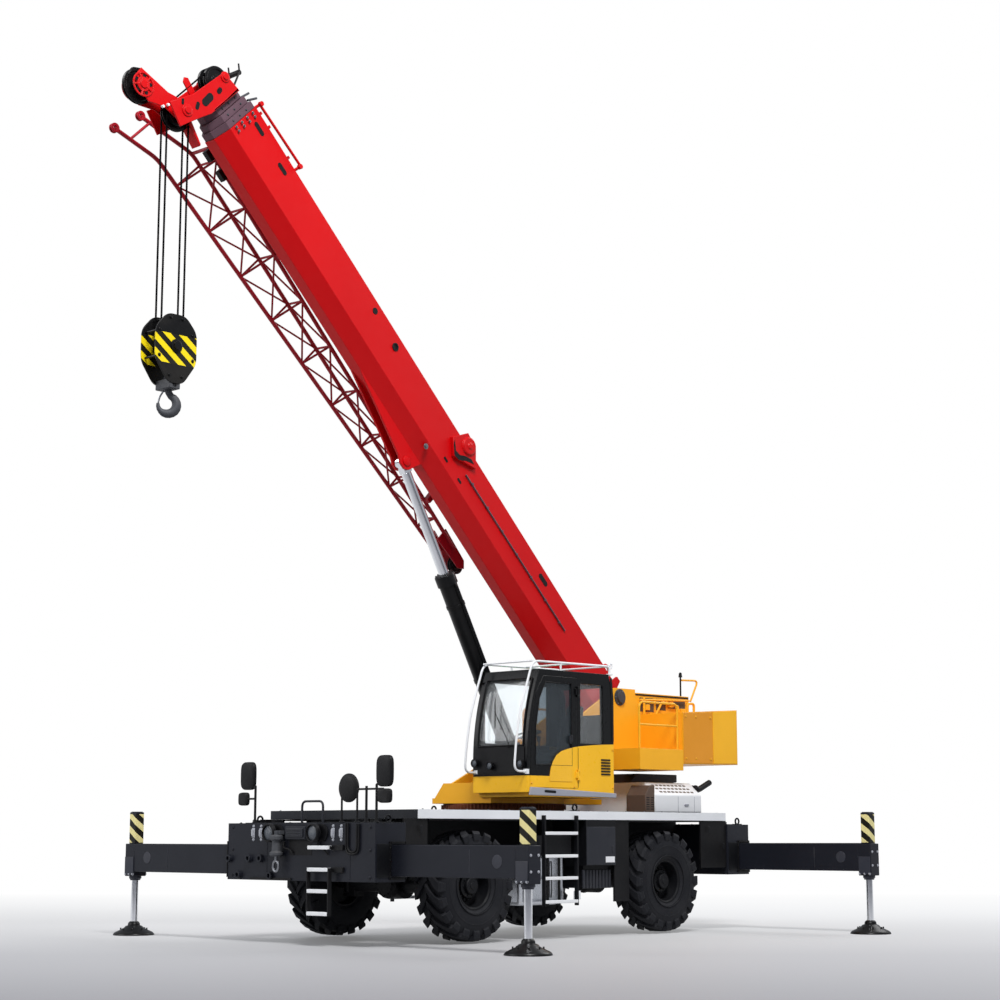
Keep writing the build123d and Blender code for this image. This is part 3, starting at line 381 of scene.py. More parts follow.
@dataclass(frozen=True)
class Paint(Finish):
    """Sprayed paint with a clear coat, dust on upward faces and chipped edges."""

    colour: str
    roughness: float = 0.38
    coat: float = 0.25
    dust: float = 0.12
    dust_colour: str = "8a8378"
    scale: float = 1.6
    edge_width: float = 0.006
    chip_colour: str = "5a5650"
    chips: float = 0.35
    metallic: float = 0.0
    specular: float = 0.22

    def tint(self, nodes: NodeTree) -> Socket | tuple[float, float, float, float]:
        """Colour under the dust: plain here, patterned in the kinds below."""
        return linear(self.colour)

    def dress(self, nodes: NodeTree, shader: Node) -> None:
        """Joins weather and edges to the shader.

        Args:
            nodes: The material's nodes.
            shader: Its Principled BSDF.
        """
        weather = place_group(
            nodes, Effect.WEATHER, Colour=self.tint(nodes), Dust=linear(self.dust_colour),
            Dust_amount=self.dust, Scale=self.scale, Roughness=self.roughness,
        )
        edges = place_group(nodes, Effect.EDGES, Width=self.edge_width)
        chipped = nodes.math("MULTIPLY", edges.outputs["Mask"], self.chips)
        colour = nodes.mix(chipped, weather.outputs["Colour"], linear(self.chip_colour))
        nodes.join(colour, shader.inputs["Base Color"])
        nodes.join(weather.outputs["Roughness"], shader.inputs["Roughness"])
        peel = nodes.add("Bump")
        peel.inputs["Strength"].default_value = 0.04
        peel.inputs["Distance"].default_value = 0.002
        nodes.join(weather.outputs["Height"], peel.inputs["Height"])
        nodes.join(edges.outputs["Normal"], peel.inputs["Normal"])
        nodes.join(peel.outputs[0], shader.inputs["Normal"])
        shader.inputs["Metallic"].default_value = self.metallic
        shader.inputs["Specular IOR Level"].default_value = self.specular
        shader.inputs["Coat Weight"].default_value = self.coat
        shader.inputs["Coat Roughness"].default_value = 0.12


@dataclass(frozen=True)
class StripedPaint(Paint):
    """Paint with slanted warning stripes above a height, and one plain colour below it."""

    stripe_colour: str = "e8dc9a"
    ground_colour: str = "16150f"
    slope: tuple[float, float, float] = (0.7, 0.7, 1.0)
    pitch: float = 0.2
    from_z: float = 0.0
    to_z: float = 100.0

    def tint(self, nodes: NodeTree) -> Socket:
        """Stripes between the two heights, the plain colour elsewhere."""
        stripes = place_group(nodes, Effect.STRIPES, Slope=self.slope, Pitch=self.pitch, Shift=0.0)
        height = nodes.add("SeparateXYZ")
        nodes.join(nodes.place(), height.inputs[0])
        above = nodes.math("GREATER_THAN", height.outputs[2], self.from_z)
        below = nodes.math("LESS_THAN", height.outputs[2], self.to_z)
        banded = nodes.mix(stripes.outputs["Mask"], linear(self.ground_colour), linear(self.stripe_colour))
        return nodes.mix(nodes.math("MULTIPLY", above, below), linear(self.colour), banded)


@dataclass(frozen=True)
class DeckPaint(Paint):
    """Deck paint: pale on the edges that stand upright, dark on the walking surface."""

    top_colour: str = "24262c"

    def tint(self, nodes: NodeTree) -> Socket:
        """The dark colour where the face lies flat."""
        facing = nodes.add("SeparateXYZ")
        nodes.join(nodes.add("NewGeometry").outputs["Normal"], facing.inputs[0])
        flat = nodes.math("GREATER_THAN", nodes.math("ABSOLUTE", facing.outputs[2]), 0.5)
        across = nodes.math("GREATER_THAN", nodes.math("ABSOLUTE", facing.outputs[1]), 0.5)
        return nodes.mix(nodes.math("MAXIMUM", flat, across), linear(self.colour), linear(self.top_colour))


@dataclass(frozen=True)
class CabPaint(Paint):
    """Two-tone cab paint: yellow under a swept line, black above it."""

    upper_colour: str = "060709"
    line: tuple[Point, ...] = (
        (-0.483, 2.274), (-0.411, 2.486), (-0.339, 2.57), (-0.232, 2.633), (-0.017, 2.686), (0.348, 2.729),
        (0.963, 2.765),
    )
    base_z: float = 2.2
    rise: float = 0.6

    def tint(self, nodes: NodeTree) -> Socket:
        """Yellow where the point lies under the swept line, black elsewhere."""
        place = nodes.add("SeparateXYZ")
        nodes.join(nodes.place(), place.inputs[0])
        start, end = self.line[0][0], self.line[-1][0]
        curve = nodes.add("FloatCurve")
        points = curve.mapping.curves[0].points
        shares = [((y - start) / (end - start), (z - self.base_z) / self.rise) for y, z in self.line]
        points[0].location, points[1].location = shares[0], shares[-1]
        for share in shares[1:-1]:
            points.new(*share)
        curve.mapping.update()
        nodes.join(nodes.spread(place.outputs[1], along(start), along(end)), curve.inputs["Value"])
        height = nodes.math("ADD", nodes.math("MULTIPLY", curve.outputs[0], self.rise), self.base_z)
        under = nodes.math("LESS_THAN", place.outputs[2], height)
        return nodes.mix(under, linear(self.upper_colour), linear(self.colour))


@dataclass(frozen=True)
class Metal(Finish):
    """Bare or polished metal with fine scratches and stains."""

    colour: str
    roughness: float = 0.3
    scale: float = 6.0
    stain: float = 0.2

    def dress(self, nodes: NodeTree, shader: Node) -> None:
        """Joins patchy colour and scratched gloss to the shader.

        Args:
            nodes: The material's nodes.
            shader: Its Principled BSDF.
        """
        weather = place_group(
            nodes, Effect.WEATHER, Colour=linear(self.colour), Dust=linear("4a4540"), Dust_amount=self.stain,
            Scale=self.scale, Roughness=self.roughness,
        )
        edges = place_group(nodes, Effect.EDGES, Width=0.003)
        nodes.join(weather.outputs["Colour"], shader.inputs["Base Color"])
        nodes.join(weather.outputs["Roughness"], shader.inputs["Roughness"])
        nodes.join(edges.outputs["Normal"], shader.inputs["Normal"])
        shader.inputs["Metallic"].default_value = 1.0


@dataclass(frozen=True)
class Rubber(Finish):
    """Tyre rubber: matt, blue-black, with pale dust on the tread."""

    colour: str = "17181d"
    dust_colour: str = "4a494a"
    dust: float = 0.3

    def dress(self, nodes: NodeTree, shader: Node) -> None:
        """Joins dust and a fine grain to the shader.

        Args:
            nodes: The material's nodes.
            shader: Its Principled BSDF.
        """
        weather = place_group(
            nodes, Effect.WEATHER, Colour=linear(self.colour), Dust=linear(self.dust_colour),
            Dust_amount=self.dust, Scale=3.0, Roughness=0.62,
        )
        shader.inputs["Specular IOR Level"].default_value = 0.2
        nodes.join(weather.outputs["Colour"], shader.inputs["Base Color"])
        nodes.join(weather.outputs["Roughness"], shader.inputs["Roughness"])
        grain = nodes.add("Bump")
        grain.inputs["Strength"].default_value = 0.25
        grain.inputs["Distance"].default_value = 0.003
        nodes.join(weather.outputs["Height"], grain.inputs["Height"])
        nodes.join(place_group(nodes, Effect.EDGES, Width=0.008).outputs["Normal"], grain.inputs["Normal"])
        nodes.join(grain.outputs[0], shader.inputs["Normal"])


@dataclass(frozen=True)
class Glass(Finish):
    """Tinted pane with a film of dust."""

    colour: str
    roughness: float = 0.03
    clearness: float = 0.95

    def dress(self, nodes: NodeTree, shader: Node) -> None:
        """Sets a clear shader with a dusty gloss.

        Args:
            nodes: The material's nodes.
            shader: Its Principled BSDF.
        """
        shader.inputs["Base Color"].default_value = linear(self.colour)
        shader.inputs["Metallic"].default_value = 0.0
        shader.inputs["Transmission Weight"].default_value = self.clearness
        shader.inputs["IOR"].default_value = 1.02
        film = nodes.noise(nodes.place(), 5.0, 6)
        nodes.join(
            nodes.spread(film, 0.3, 0.8, (self.roughness, self.roughness + 0.07)),
            shader.inputs["Roughness"],
        )
        shader.inputs["Coat Weight"].default_value = 0.6
        shader.inputs["Coat Roughness"].default_value = 0.03


@dataclass(frozen=True)
class Glow(Finish):
    """Lamp lens: pale ribbed plastic that shines a little."""

    colour: str
    strength: float = 0.1

    def dress(self, nodes: NodeTree, shader: Node) -> None:
        """Sets a glossy lens.

        Args:
            nodes: The material's nodes.
            shader: Its Principled BSDF.
        """
        shader.inputs["Base Color"].default_value = linear(self.colour)
        shader.inputs["Emission Color"].default_value = linear(self.colour)
        shader.inputs["Emission Strength"].default_value = self.strength
        ribs = nodes.add("TexWave", wave_type="BANDS", bands_direction="Z")
        ribs.inputs["Scale"].default_value = 60.0
        nodes.join(nodes.place(), ribs.inputs["Vector"])
        bump = nodes.add("Bump")
        bump.inputs["Strength"].default_value = 0.3
        bump.inputs["Distance"].default_value = 0.002
        nodes.join(ribs.outputs[1], bump.inputs["Height"])
        nodes.join(bump.outputs[0], shader.inputs["Normal"])
        shader.inputs["Roughness"].default_value = 0.15


class Coats:
    """Every finish on the crane."""

    boom_red = Paint(
        "boom_red", "red_paint", "c60006", roughness=0.4, coat=0.04, dust=0.0, scale=0.7, edge_width=0.012,
    )
    jib_red = Paint("jib_red", "red_paint", "9a0a1e", roughness=0.42, coat=0.1, dust=0.03)
    collar_grey = Paint(
        "collar_grey", "red_paint", "5e4650", roughness=0.5, coat=0.0, dust=0.1, dust_colour="8a7a80",
    )
    cab_yellow = CabPaint(
        "cab_two_tone", "yellow_paint", "f9bd25", roughness=0.3, coat=0.06, dust=0.0, edge_width=0.012,
        chips=0.1,
    )
    body_yellow = Paint(
        "body_yellow", "yellow_paint", "f9b324", roughness=0.4, coat=0.06, dust=0.03, edge_width=0.01,
    )
    tail_yellow = Paint(
        "tail_yellow", "yellow_paint", "f6ad1f", roughness=0.4, coat=0.06, dust=0.03, edge_width=0.012,
    )
    carrier = Paint(
        "carrier_charcoal", "carrier_paint", "191b23", roughness=0.42, coat=0.04, dust=0.1,
        dust_colour="4d4c50", edge_width=0.01, chip_colour="44444a",
    )
    carrier_dark = Paint(
        "carrier_black", "carrier_paint", "0b0c10", roughness=0.5, coat=0.0, dust=0.08, dust_colour="403e3e",
        chip_colour="3a3a40",
    )
    panel_grey = Paint("panel_grey", "carrier_paint", "25272e", roughness=0.45, coat=0.1, dust=0.1)
    deck_edge = DeckPaint(
        "deck_edge", "deck_grey", "e4e6e9", roughness=0.45, coat=0.1, dust=0.05, dust_colour="a8a296",
    )
    white = Paint("white", "white_paint", "e9eaec", roughness=0.4, coat=0.2, dust=0.12, dust_colour="b8b2a8")
    black = Paint("satin_black", "black_paint", "08080a", roughness=0.36, coat=0.05, dust=0.04)
    slab_grey = Paint("slab_grey", "black_paint", "3a3b40", roughness=0.6, coat=0.0, dust=0.25)
    # Brown of the hood's vents and slots; on the winch housing it paints the shade inside the openings.
    vent_brown_and_opening_shade = Paint("vent_brown_and_opening_shade", "black_paint", "5b4a40", roughness=0.55, coat=0.0, dust=0.2)
    sill_grey = Paint("sill_grey", "deck_grey", "9a9ca6", roughness=0.4, coat=0.1, dust=0.1)
    beam = StripedPaint(
        "beam_striped", "hazard_stripe", "1a1c24", roughness=0.42, coat=0.04, dust=0.08,
        dust_colour="4d4c50", chip_colour="44444a", from_z=1.335, to_z=1.75,
    )
    cheek = StripedPaint(
        "cheek_striped", "black_paint", "08080a", roughness=0.4, coat=0.0, stripe_colour="f2d813",
        slope=(0.0, 0.75, 1.0), pitch=0.2, from_z=7.5, to_z=7.9,
    )
    cast = Paint("cast_grey", "cast", "4b4d52", roughness=0.6, coat=0.0, dust=0.25, metallic=0.4)
    steel = Metal("worn_steel", "bare_steel", "8d8f94", roughness=0.34)
    chrome = Metal("bright_rod", "rod_chrome", "e6e8ec", roughness=0.08, scale=3.0, stain=0.05)
    tank = Metal("tank_silver", "silver_tank", "c9ccd2", roughness=0.28, stain=0.1)
    rope = Paint(
        "greased_rope", "rope_steel", "060608", roughness=0.7, coat=0.0, dust=0.0, chips=0.0, specular=0.05,
    )
    rubber = Rubber("black_rubber", "tyre_rubber")
    plastic = Paint(
        "moulded_black", "black_plastic", "0c0c0f", roughness=0.5, coat=0.0, dust=0.05, edge_width=0.004,
        chips=0.0,
    )
    trim = Paint("seat_cover", "seat_trim", "24262b", roughness=0.75, coat=0.0, dust=0.1, chips=0.0)
    clear = Glass("clear_pane", "glazing", "f4f8fa")
    # Grey tint on the door glass paints the shade of the dark cab inside seen through it.
    door_glass_shade = Glass("door_pane_painted_shade", "glazing", "7d8890", clearness=0.9)
    green = Glass("green_pane", "glazing", "8fc7a0", clearness=0.85)
    lens = Glow("clear_lens", "lamp_lens", "4a4f56", strength=0.0)
    tail_red = Glow("tail_lens", "lamp_lens", "b01414", strength=0.05)
    pale_grey = Paint(
        "pale_grey", "deck_grey", "a9abb2", roughness=0.4, coat=0.1, dust=0.1, edge_width=0.004,
    )
    ring_brown = Paint("ring_brown", "cast", "6e3a22", roughness=0.6, coat=0.0, dust=0.2, chips=0.1)
    mirror = Metal("mirror_glass", "glazing", "c8ced4", roughness=0.06, scale=2.0, stain=0.0)
    tail_bright = Paint("tail_bright", "yellow_paint", "fbb81e", roughness=0.4, coat=0.2, dust=0.03)
    # Orange copy of the tail yellow: painted shade on the front part of the counterweight's sides.
    tail_painted_shade = Paint("tail_painted_shade", "yellow_paint", "e3941e", roughness=0.45, coat=0.15, dust=0.08)
    yellow_plain = Paint("cab_yellow_plain", "yellow_paint", "f9bd25", roughness=0.3, coat=0.5, dust=0.03)
    beam_plain = Paint(
        "beam_plain", "carrier_paint", "31333c", roughness=0.45, coat=0.1, dust=0.2, edge_width=0.006,
    )


# ---- mesh maker ----------------------------------------------------------------------------------
def rounded(points: Sequence[Vector], radius: float, steps: int = 5) -> list[Vector]:
    """Path with its corners rounded.

    Args:
        points: Corners of the path.
        radius: How far from a corner the bend starts.
        steps: Pieces in each bend.

    Returns:
        The points of the smooth path.
    """
    path = [points[0].copy()]
    for before, corner, after in zip(points, points[1:], points[2:]):
        reach = min(radius, (corner - before).length / 2, (after - corner).length / 2)
        start = corner + (before - corner).normalized() * reach
        end = corner + (after - corner).normalized() * reach
        for step in range(steps + 1):
            share = step / steps
            path.append(start.lerp(corner, share).lerp(corner.lerp(end, share), share))
    path.append(points[-1].copy())
    return path


class Shape:
    """Collects the faces of one piece, then makes its object."""

    def __init__(self) -> None:
        """Starts with no faces."""
        self.mesh = bmesh.new()

    def loft(self, rings: Sequence[Sequence[Vector]], caps: bool = True, closed: bool = False) -> "Shape":
        """Skins rings of points that all have the same count.

        Args:
            rings: The rings, in order.
            caps: Whether the two ends get a face.
            closed: Whether the last ring joins the first.

        Returns:
            This shape.
        """
        made = [[self.mesh.verts.new(point) for point in ring] for ring in rings]
        pairs = list(zip(made, made[1:])) + ([(made[-1], made[0])] if closed else [])
        for first, second in pairs:
            for i, vert in enumerate(first):
                j = (i + 1) % len(first)
                self.mesh.faces.new((vert, first[j], second[j], second[i]))
        if caps and not closed:
            self.mesh.faces.new(reversed(made[0]))
            self.mesh.faces.new(made[-1])
        return self

    def prism(self, outline: Sequence[Vector], run: Vector) -> "Shape":
        """A flat outline drawn out along a direction."""
        return self.loft([outline, [point + run for point in outline]])

    def plate(self, sheet: Sheet, outline: Sequence[Point], thickness: float) -> "Shape":
        """A plate drawn on a plane, its thickness along the normal."""
        return self.prism([sheet.at(u, v) for u, v in outline], sheet.normal * thickness)

    def block(self, centre: Sequence[float], size: Sequence[float], turn: Matrix | None = None) -> "Shape":
        """A box around a centre, turned by a 3x3 matrix if one is given."""
        turn = turn or Matrix.Identity(3)
        half = Vector(size) / 2
        corners = [Vector((x * half.x, y * half.y, 0)) for x, y in ((-1, -1), (1, -1), (1, 1), (-1, 1))]
        rings = [
            [Vector(centre) + turn @ (corner + Z_AXIS * (z * half.z)) for corner in corners] for z in (-1, 1)
        ]
        return self.loft(rings)

    def rod(
        self, start: Vector, end: Vector, radius: float, end_radius: float | None = None, sides: int = 20,
    ) -> "Shape":
        """A round bar or cone between two points."""
        run = end - start
        last = radius if end_radius is None else end_radius
        return self.lathe([(0, radius), (run.length, last)], start, run, sides, caps=True)

    def lathe(
        self, profile: Sequence[Point], centre: Vector, axis: Vector, sides: int = 40, caps: bool = False,
        closed: bool = False,
    ) -> "Shape":
        """A turned form.

        Args:
            profile: Rows of (place along the axis, radius).
            centre: Where the axis starts.
            axis: Direction of the axis.
            sides: Faces around.
            caps: Whether the ends get a face.
            closed: Whether the profile is a loop, as on a ring.

        Returns:
            This shape.
        """
        way = axis.normalized()
        first = way.orthogonal().normalized()
        second = way.cross(first)
        rings = [circle(centre + way * place, radius, sides, first, second) for place, radius in profile]
        return self.loft(rings, caps, closed)

    def tube(
        self, points: Sequence[Vector], radius: float, bend: float = 0.0, sides: int = 10,
        closed: bool = False,
    ) -> "Shape":
        """A round tube along a path.

        Args:
            points: Corners of the path.
            radius: Radius of the tube.
            bend: How far from each corner its bend starts.
            sides: Faces around.
            closed: Whether the path is a loop.

        Returns:
            This shape.
        """
        path = rounded(points, bend) if bend else [point.copy() for point in points]
        normal = (path[1] - path[0]).normalized().orthogonal().normalized()
        rings = []
        for i, point in enumerate(path):
            before = path[i - 1] if i or closed else point
            after = path[(i + 1) % len(path)] if i + 1 < len(path) or closed else point
            way = (after - before).normalized()
            normal = (normal - way * normal.dot(way)).normalized()
            rings.append(circle(point, radius, sides, normal, way.cross(normal)))
        return self.loft(rings, caps=True, closed=closed)

    def bolts(self, places: Iterable[Vector], axis: Vector, radius: float, height: float) -> "Shape":
        """Hexagon bolt heads with a washer each."""
        for place in places:
            self.rod(place, place + axis.normalized() * height * 0.3, radius * 1.5, sides=16)
            self.rod(place, place + axis.normalized() * height, radius, radius * 0.92, sides=6)
        return self

    def data(self, name: str) -> bpy.types.Mesh:
        """The finished mesh, its faces turned outwards."""
        bmesh.ops.recalc_face_normals(self.mesh, faces=self.mesh.faces)
        data = bpy.data.meshes.new(name)
        self.mesh.to_mesh(data)
        self.mesh.free()
        return data

    def piece(self, name: str, finish: Finish, body: str, **settings: object) -> bpy.types.Object:
        """Adds this shape to the scene, with the settings that add_piece takes."""
        bmesh.ops.remove_doubles(self.mesh, verts=self.mesh.verts, dist=1e-6)
        return add_piece(name, self.data(name), finish, body, **settings)


def add_piece(
    name: str, data: bpy.types.Mesh, finish: Finish, body: str, bevel: float = 0.0, smooth: float = 35.0,
    replaces: Sequence[str] = (), place: Matrix | None = None,
) -> bpy.types.Object:
    """Adds a mesh to the scene as a piece of the crane.

    Args:
        name: Name of the piece.
        data: Its mesh.
        finish: Its finish.
        body: The CAD body it moves with.
        bevel: Width of its rounded edges.
        smooth: Angle in degrees up to which faces shade as one.
        replaces: CAD nodes that it stands for.
        place: Where the piece stands, if not at the frame's origin.

    Returns:
        The new object.
    """
    data.shade_smooth()
    data.set_sharp_from_angle(angle=math.radians(smooth))
    if not data.materials:
        data.materials.append(finish.material())
    piece = bpy.data.objects.new(name, data)
    bpy.context.scene.collection.objects.link(piece)
    if place is not None:
        piece.matrix_world = place
    if bevel:
        edges = piece.modifiers.new("edges", "BEVEL")
        edges.width = bevel
        edges.segments = 2
        edges.limit_method = "ANGLE"
        edges.angle_limit = math.radians(40)
    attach(piece, body)
    if replaces:
        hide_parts(*replaces)
    log.info("%s rides on %s", name, body)
    return piece


def dress_node(node: str, finish: Finish) -> None:
    """Gives a CAD node that stays in view its finish.

    Args:
        node: Name of the node.
        finish: Its finish.
    """
    piece = frame["nodes"][node]
    piece.data.materials.clear()
    piece.data.materials.append(finish.material())


# ---- wheels --------------------------------------------------------------------------------------
@dataclass
class Wheels:
    """Four steered wheels: deep-lugged tyres on dark dished rims with planetary hubs."""

    lugs: int = 20
    lug_height: float = 0.052
    lug_share: float = 0.56
    lug_lean: float = 0.32
    shoulder_drop: float = 0.1
    rim_bolts: int = 16
    hub_bolts: int = 10

    def __post_init__(self) -> None:
        """Reads the wheel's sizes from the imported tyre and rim."""
        low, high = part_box("tyre_fl")
        self.radius = (high.z - low.z) / 2
        self.half_width = (high.x - low.x) / 2
        rim_low, rim_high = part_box("rim_fl")
        self.rim_radius = (rim_high.z - rim_low.z) / 2
        self.carcass = self.radius - self.lug_height

    def lug_rings(self, side: int, turn: float) -> list[list[Vector]]:
        """Cross-sections of one lug, from the tread's middle over the shoulder to the sidewall.

        Args:
            side: 1 or -1, the half of the tread it lies on.
            turn: Where around the tyre it stands, in radians.

        Returns:
            Rings of four points each.
        """
        half_pitch = math.pi / self.lugs
        stations = [
            # share of the half width, radius, lean, share of the pitch
            (-0.04, self.radius, 0.0, 0.34), (0.3, self.radius, 0.42, 0.42),
            (0.62, self.radius - 0.004, 0.78, 0.5),
            (0.9, self.radius - 0.014, 1.0, self.lug_share), (1.0, self.radius - 0.05, 1.0, self.lug_share),
            (0.992, self.radius - self.shoulder_drop - 0.03, 1.0, self.lug_share * 0.9),
        ]
        rings = []
        for share, radius, lean, width in stations:
            middle = turn + lean * self.lug_lean
            x = side * share * self.half_width
            root = min(radius, self.carcass) - 0.03
            root_x = x if share < 0.95 else side * (share - 0.07) * self.half_width
            rings.append([
                Vector((px, math.cos(a) * r, math.sin(a) * r))
                for px, r, a in (
                    (root_x, root, middle - width * half_pitch * 1.12),
                    (x, radius, middle - width * half_pitch), (x, radius, middle + width * half_pitch),
                    (root_x, root, middle + width * half_pitch * 1.12),
                )
            ])
        return rings

    def tyre(self) -> bpy.types.Mesh:
        """One tyre around the X axis, its outer side towards +X."""
        shape = Shape()
        bead = self.rim_radius + 0.001
        w = self.half_width
        half = [
            (0.78, bead), (0.84, bead + 0.03), (0.9, bead + 0.045), (0.955, bead + 0.1),
            (0.975, bead + 0.18), (0.965, bead + 0.25), (0.93, self.carcass - 0.1),
            (0.86, self.carcass - 0.035), (0.72, self.carcass - 0.008), (0.4, self.carcass),
            (0.0, self.carcass + 0.002),
        ]
        profile = [(share * w, radius) for share, radius in half]
        profile += [(-x, radius) for x, radius in reversed(profile[:-1])]
        shape.lathe(profile, Vector(), X_AXIS, sides=96, closed=True)
        for ring in (bead + 0.06, bead + 0.2):
            shape.lathe([
                (0.93 * w, ring - 0.007), (0.985 * w, ring - 0.004), (0.985 * w, ring + 0.004),
                (0.93 * w, ring + 0.007),
            ], Vector(), X_AXIS, sides=72, closed=True)
        for lug in range(self.lugs):
            for side in SIGNS:
                turn = 2 * math.pi * (lug + (0.5 if side < 0 else 0.0)) / self.lugs
                shape.loft(self.lug_rings(side, turn))
        return shape.data("tyre")

    def rim(self) -> bpy.types.Mesh:
        """Dished rim with its hub, bolts and valve, the outer side towards +X."""
        shape = Shape()
        r = self.rim_radius
        w = self.half_width
        shape.lathe([
            (0.8 * w, r + 0.02), (0.8 * w, r - 0.012), (0.74 * w, r - 0.03), (0.3 * w, r - 0.045),
            (0.1 * w, r - 0.06), (0.1 * w, r - 0.1), (0.17 * w, 0.21), (0.2 * w, 0.195), (0.2 * w, 0.0),
            (-0.3 * w, 0.0), (-0.3 * w, r - 0.04), (-0.8 * w, r - 0.012), (-0.8 * w, r + 0.02),
        ], Vector(), X_AXIS, sides=64)
        hub = self.half_width * 0.2
        shape.lathe([
            (hub, 0.17), (hub + 0.05, 0.165), (hub + 0.06, 0.15), (hub + 0.06, 0.118), (hub + 0.105, 0.112),
            (hub + 0.115, 0.1), (hub + 0.115, 0.05), (hub + 0.125, 0.045), (hub + 0.125, 0.0),
        ], Vector(), X_AXIS, sides=48)
        shape.bolts(circle(X_AXIS * (0.19 * w), 0.185, self.rim_bolts), X_AXIS, 0.012, 0.03)
        shape.bolts(circle(X_AXIS * (hub + 0.06), 0.134, self.hub_bolts), X_AXIS, 0.008, 0.014)
        return shape.data("rim")

    def build(self) -> None:
        """Sets a tyre and a rim at each wheel."""
        tyre, rim = self.tyre(), self.rim()
        for at, side in SPOTS.items():
            facing = Matrix.Translation(middle_of(f"tyre_{at}"))
            if side < 0:
                facing = facing @ Matrix.Rotation(math.pi, 4, "Z")
            wheel = f"wheel_{at}"
            add_piece(
                f"tyre_lugged_{at}", tyre, Coats.rubber, wheel, smooth=28, place=facing,
                replaces=[f"tyre_{at}"],
            )
            add_piece(
                f"rim_dished_{at}", rim, Coats.carrier_dark, wheel, place=facing, replaces=[f"rim_{at}"],
            )
            dress_node(f"knuckle_{at}", Coats.carrier_dark)


def oval(u: float, v: float, half_length: float, half_width: float, turn: float = 0.0) -> list[Point]:
    """Outline of a slot with round ends.

    Args:
        u: Middle of the slot.
        v: Middle of the slot.
        half_length: From its middle to its far end.
        half_width: Half of its width.
        turn: Its slant in degrees.

    Returns:
        The outline's corners.
    """
    slant = math.radians(turn)
    straight = half_length - half_width
    points = []
    for end in (1, -1):
        for step in range(OVAL_STEPS + 1):
            a = -math.pi / 2 + math.pi * step / OVAL_STEPS + (0 if end > 0 else math.pi)
            x, y = end * straight + math.cos(a) * half_width, math.sin(a) * half_width
            points.append(
                (
                    u + x * math.cos(slant) - y * math.sin(slant),
                    v + x * math.sin(slant) + y * math.cos(slant),
                )
            )
    return points


def oblong(u0: float, u1: float, v0: float, v1: float) -> list[Point]:
    """Outline of an upright rectangle."""
    return [(u0, v0), (u1, v0), (u1, v1), (u0, v1)]


def both_sides(x: float) -> list[tuple[int, Sheet]]:
    """The planes on the left and right of the vehicle, each with its normal outwards."""
    return [(side, Sheet(spot(side * x, 0, 0), Y_AXIS, Z_AXIS * side, side)) for side in SIGNS]


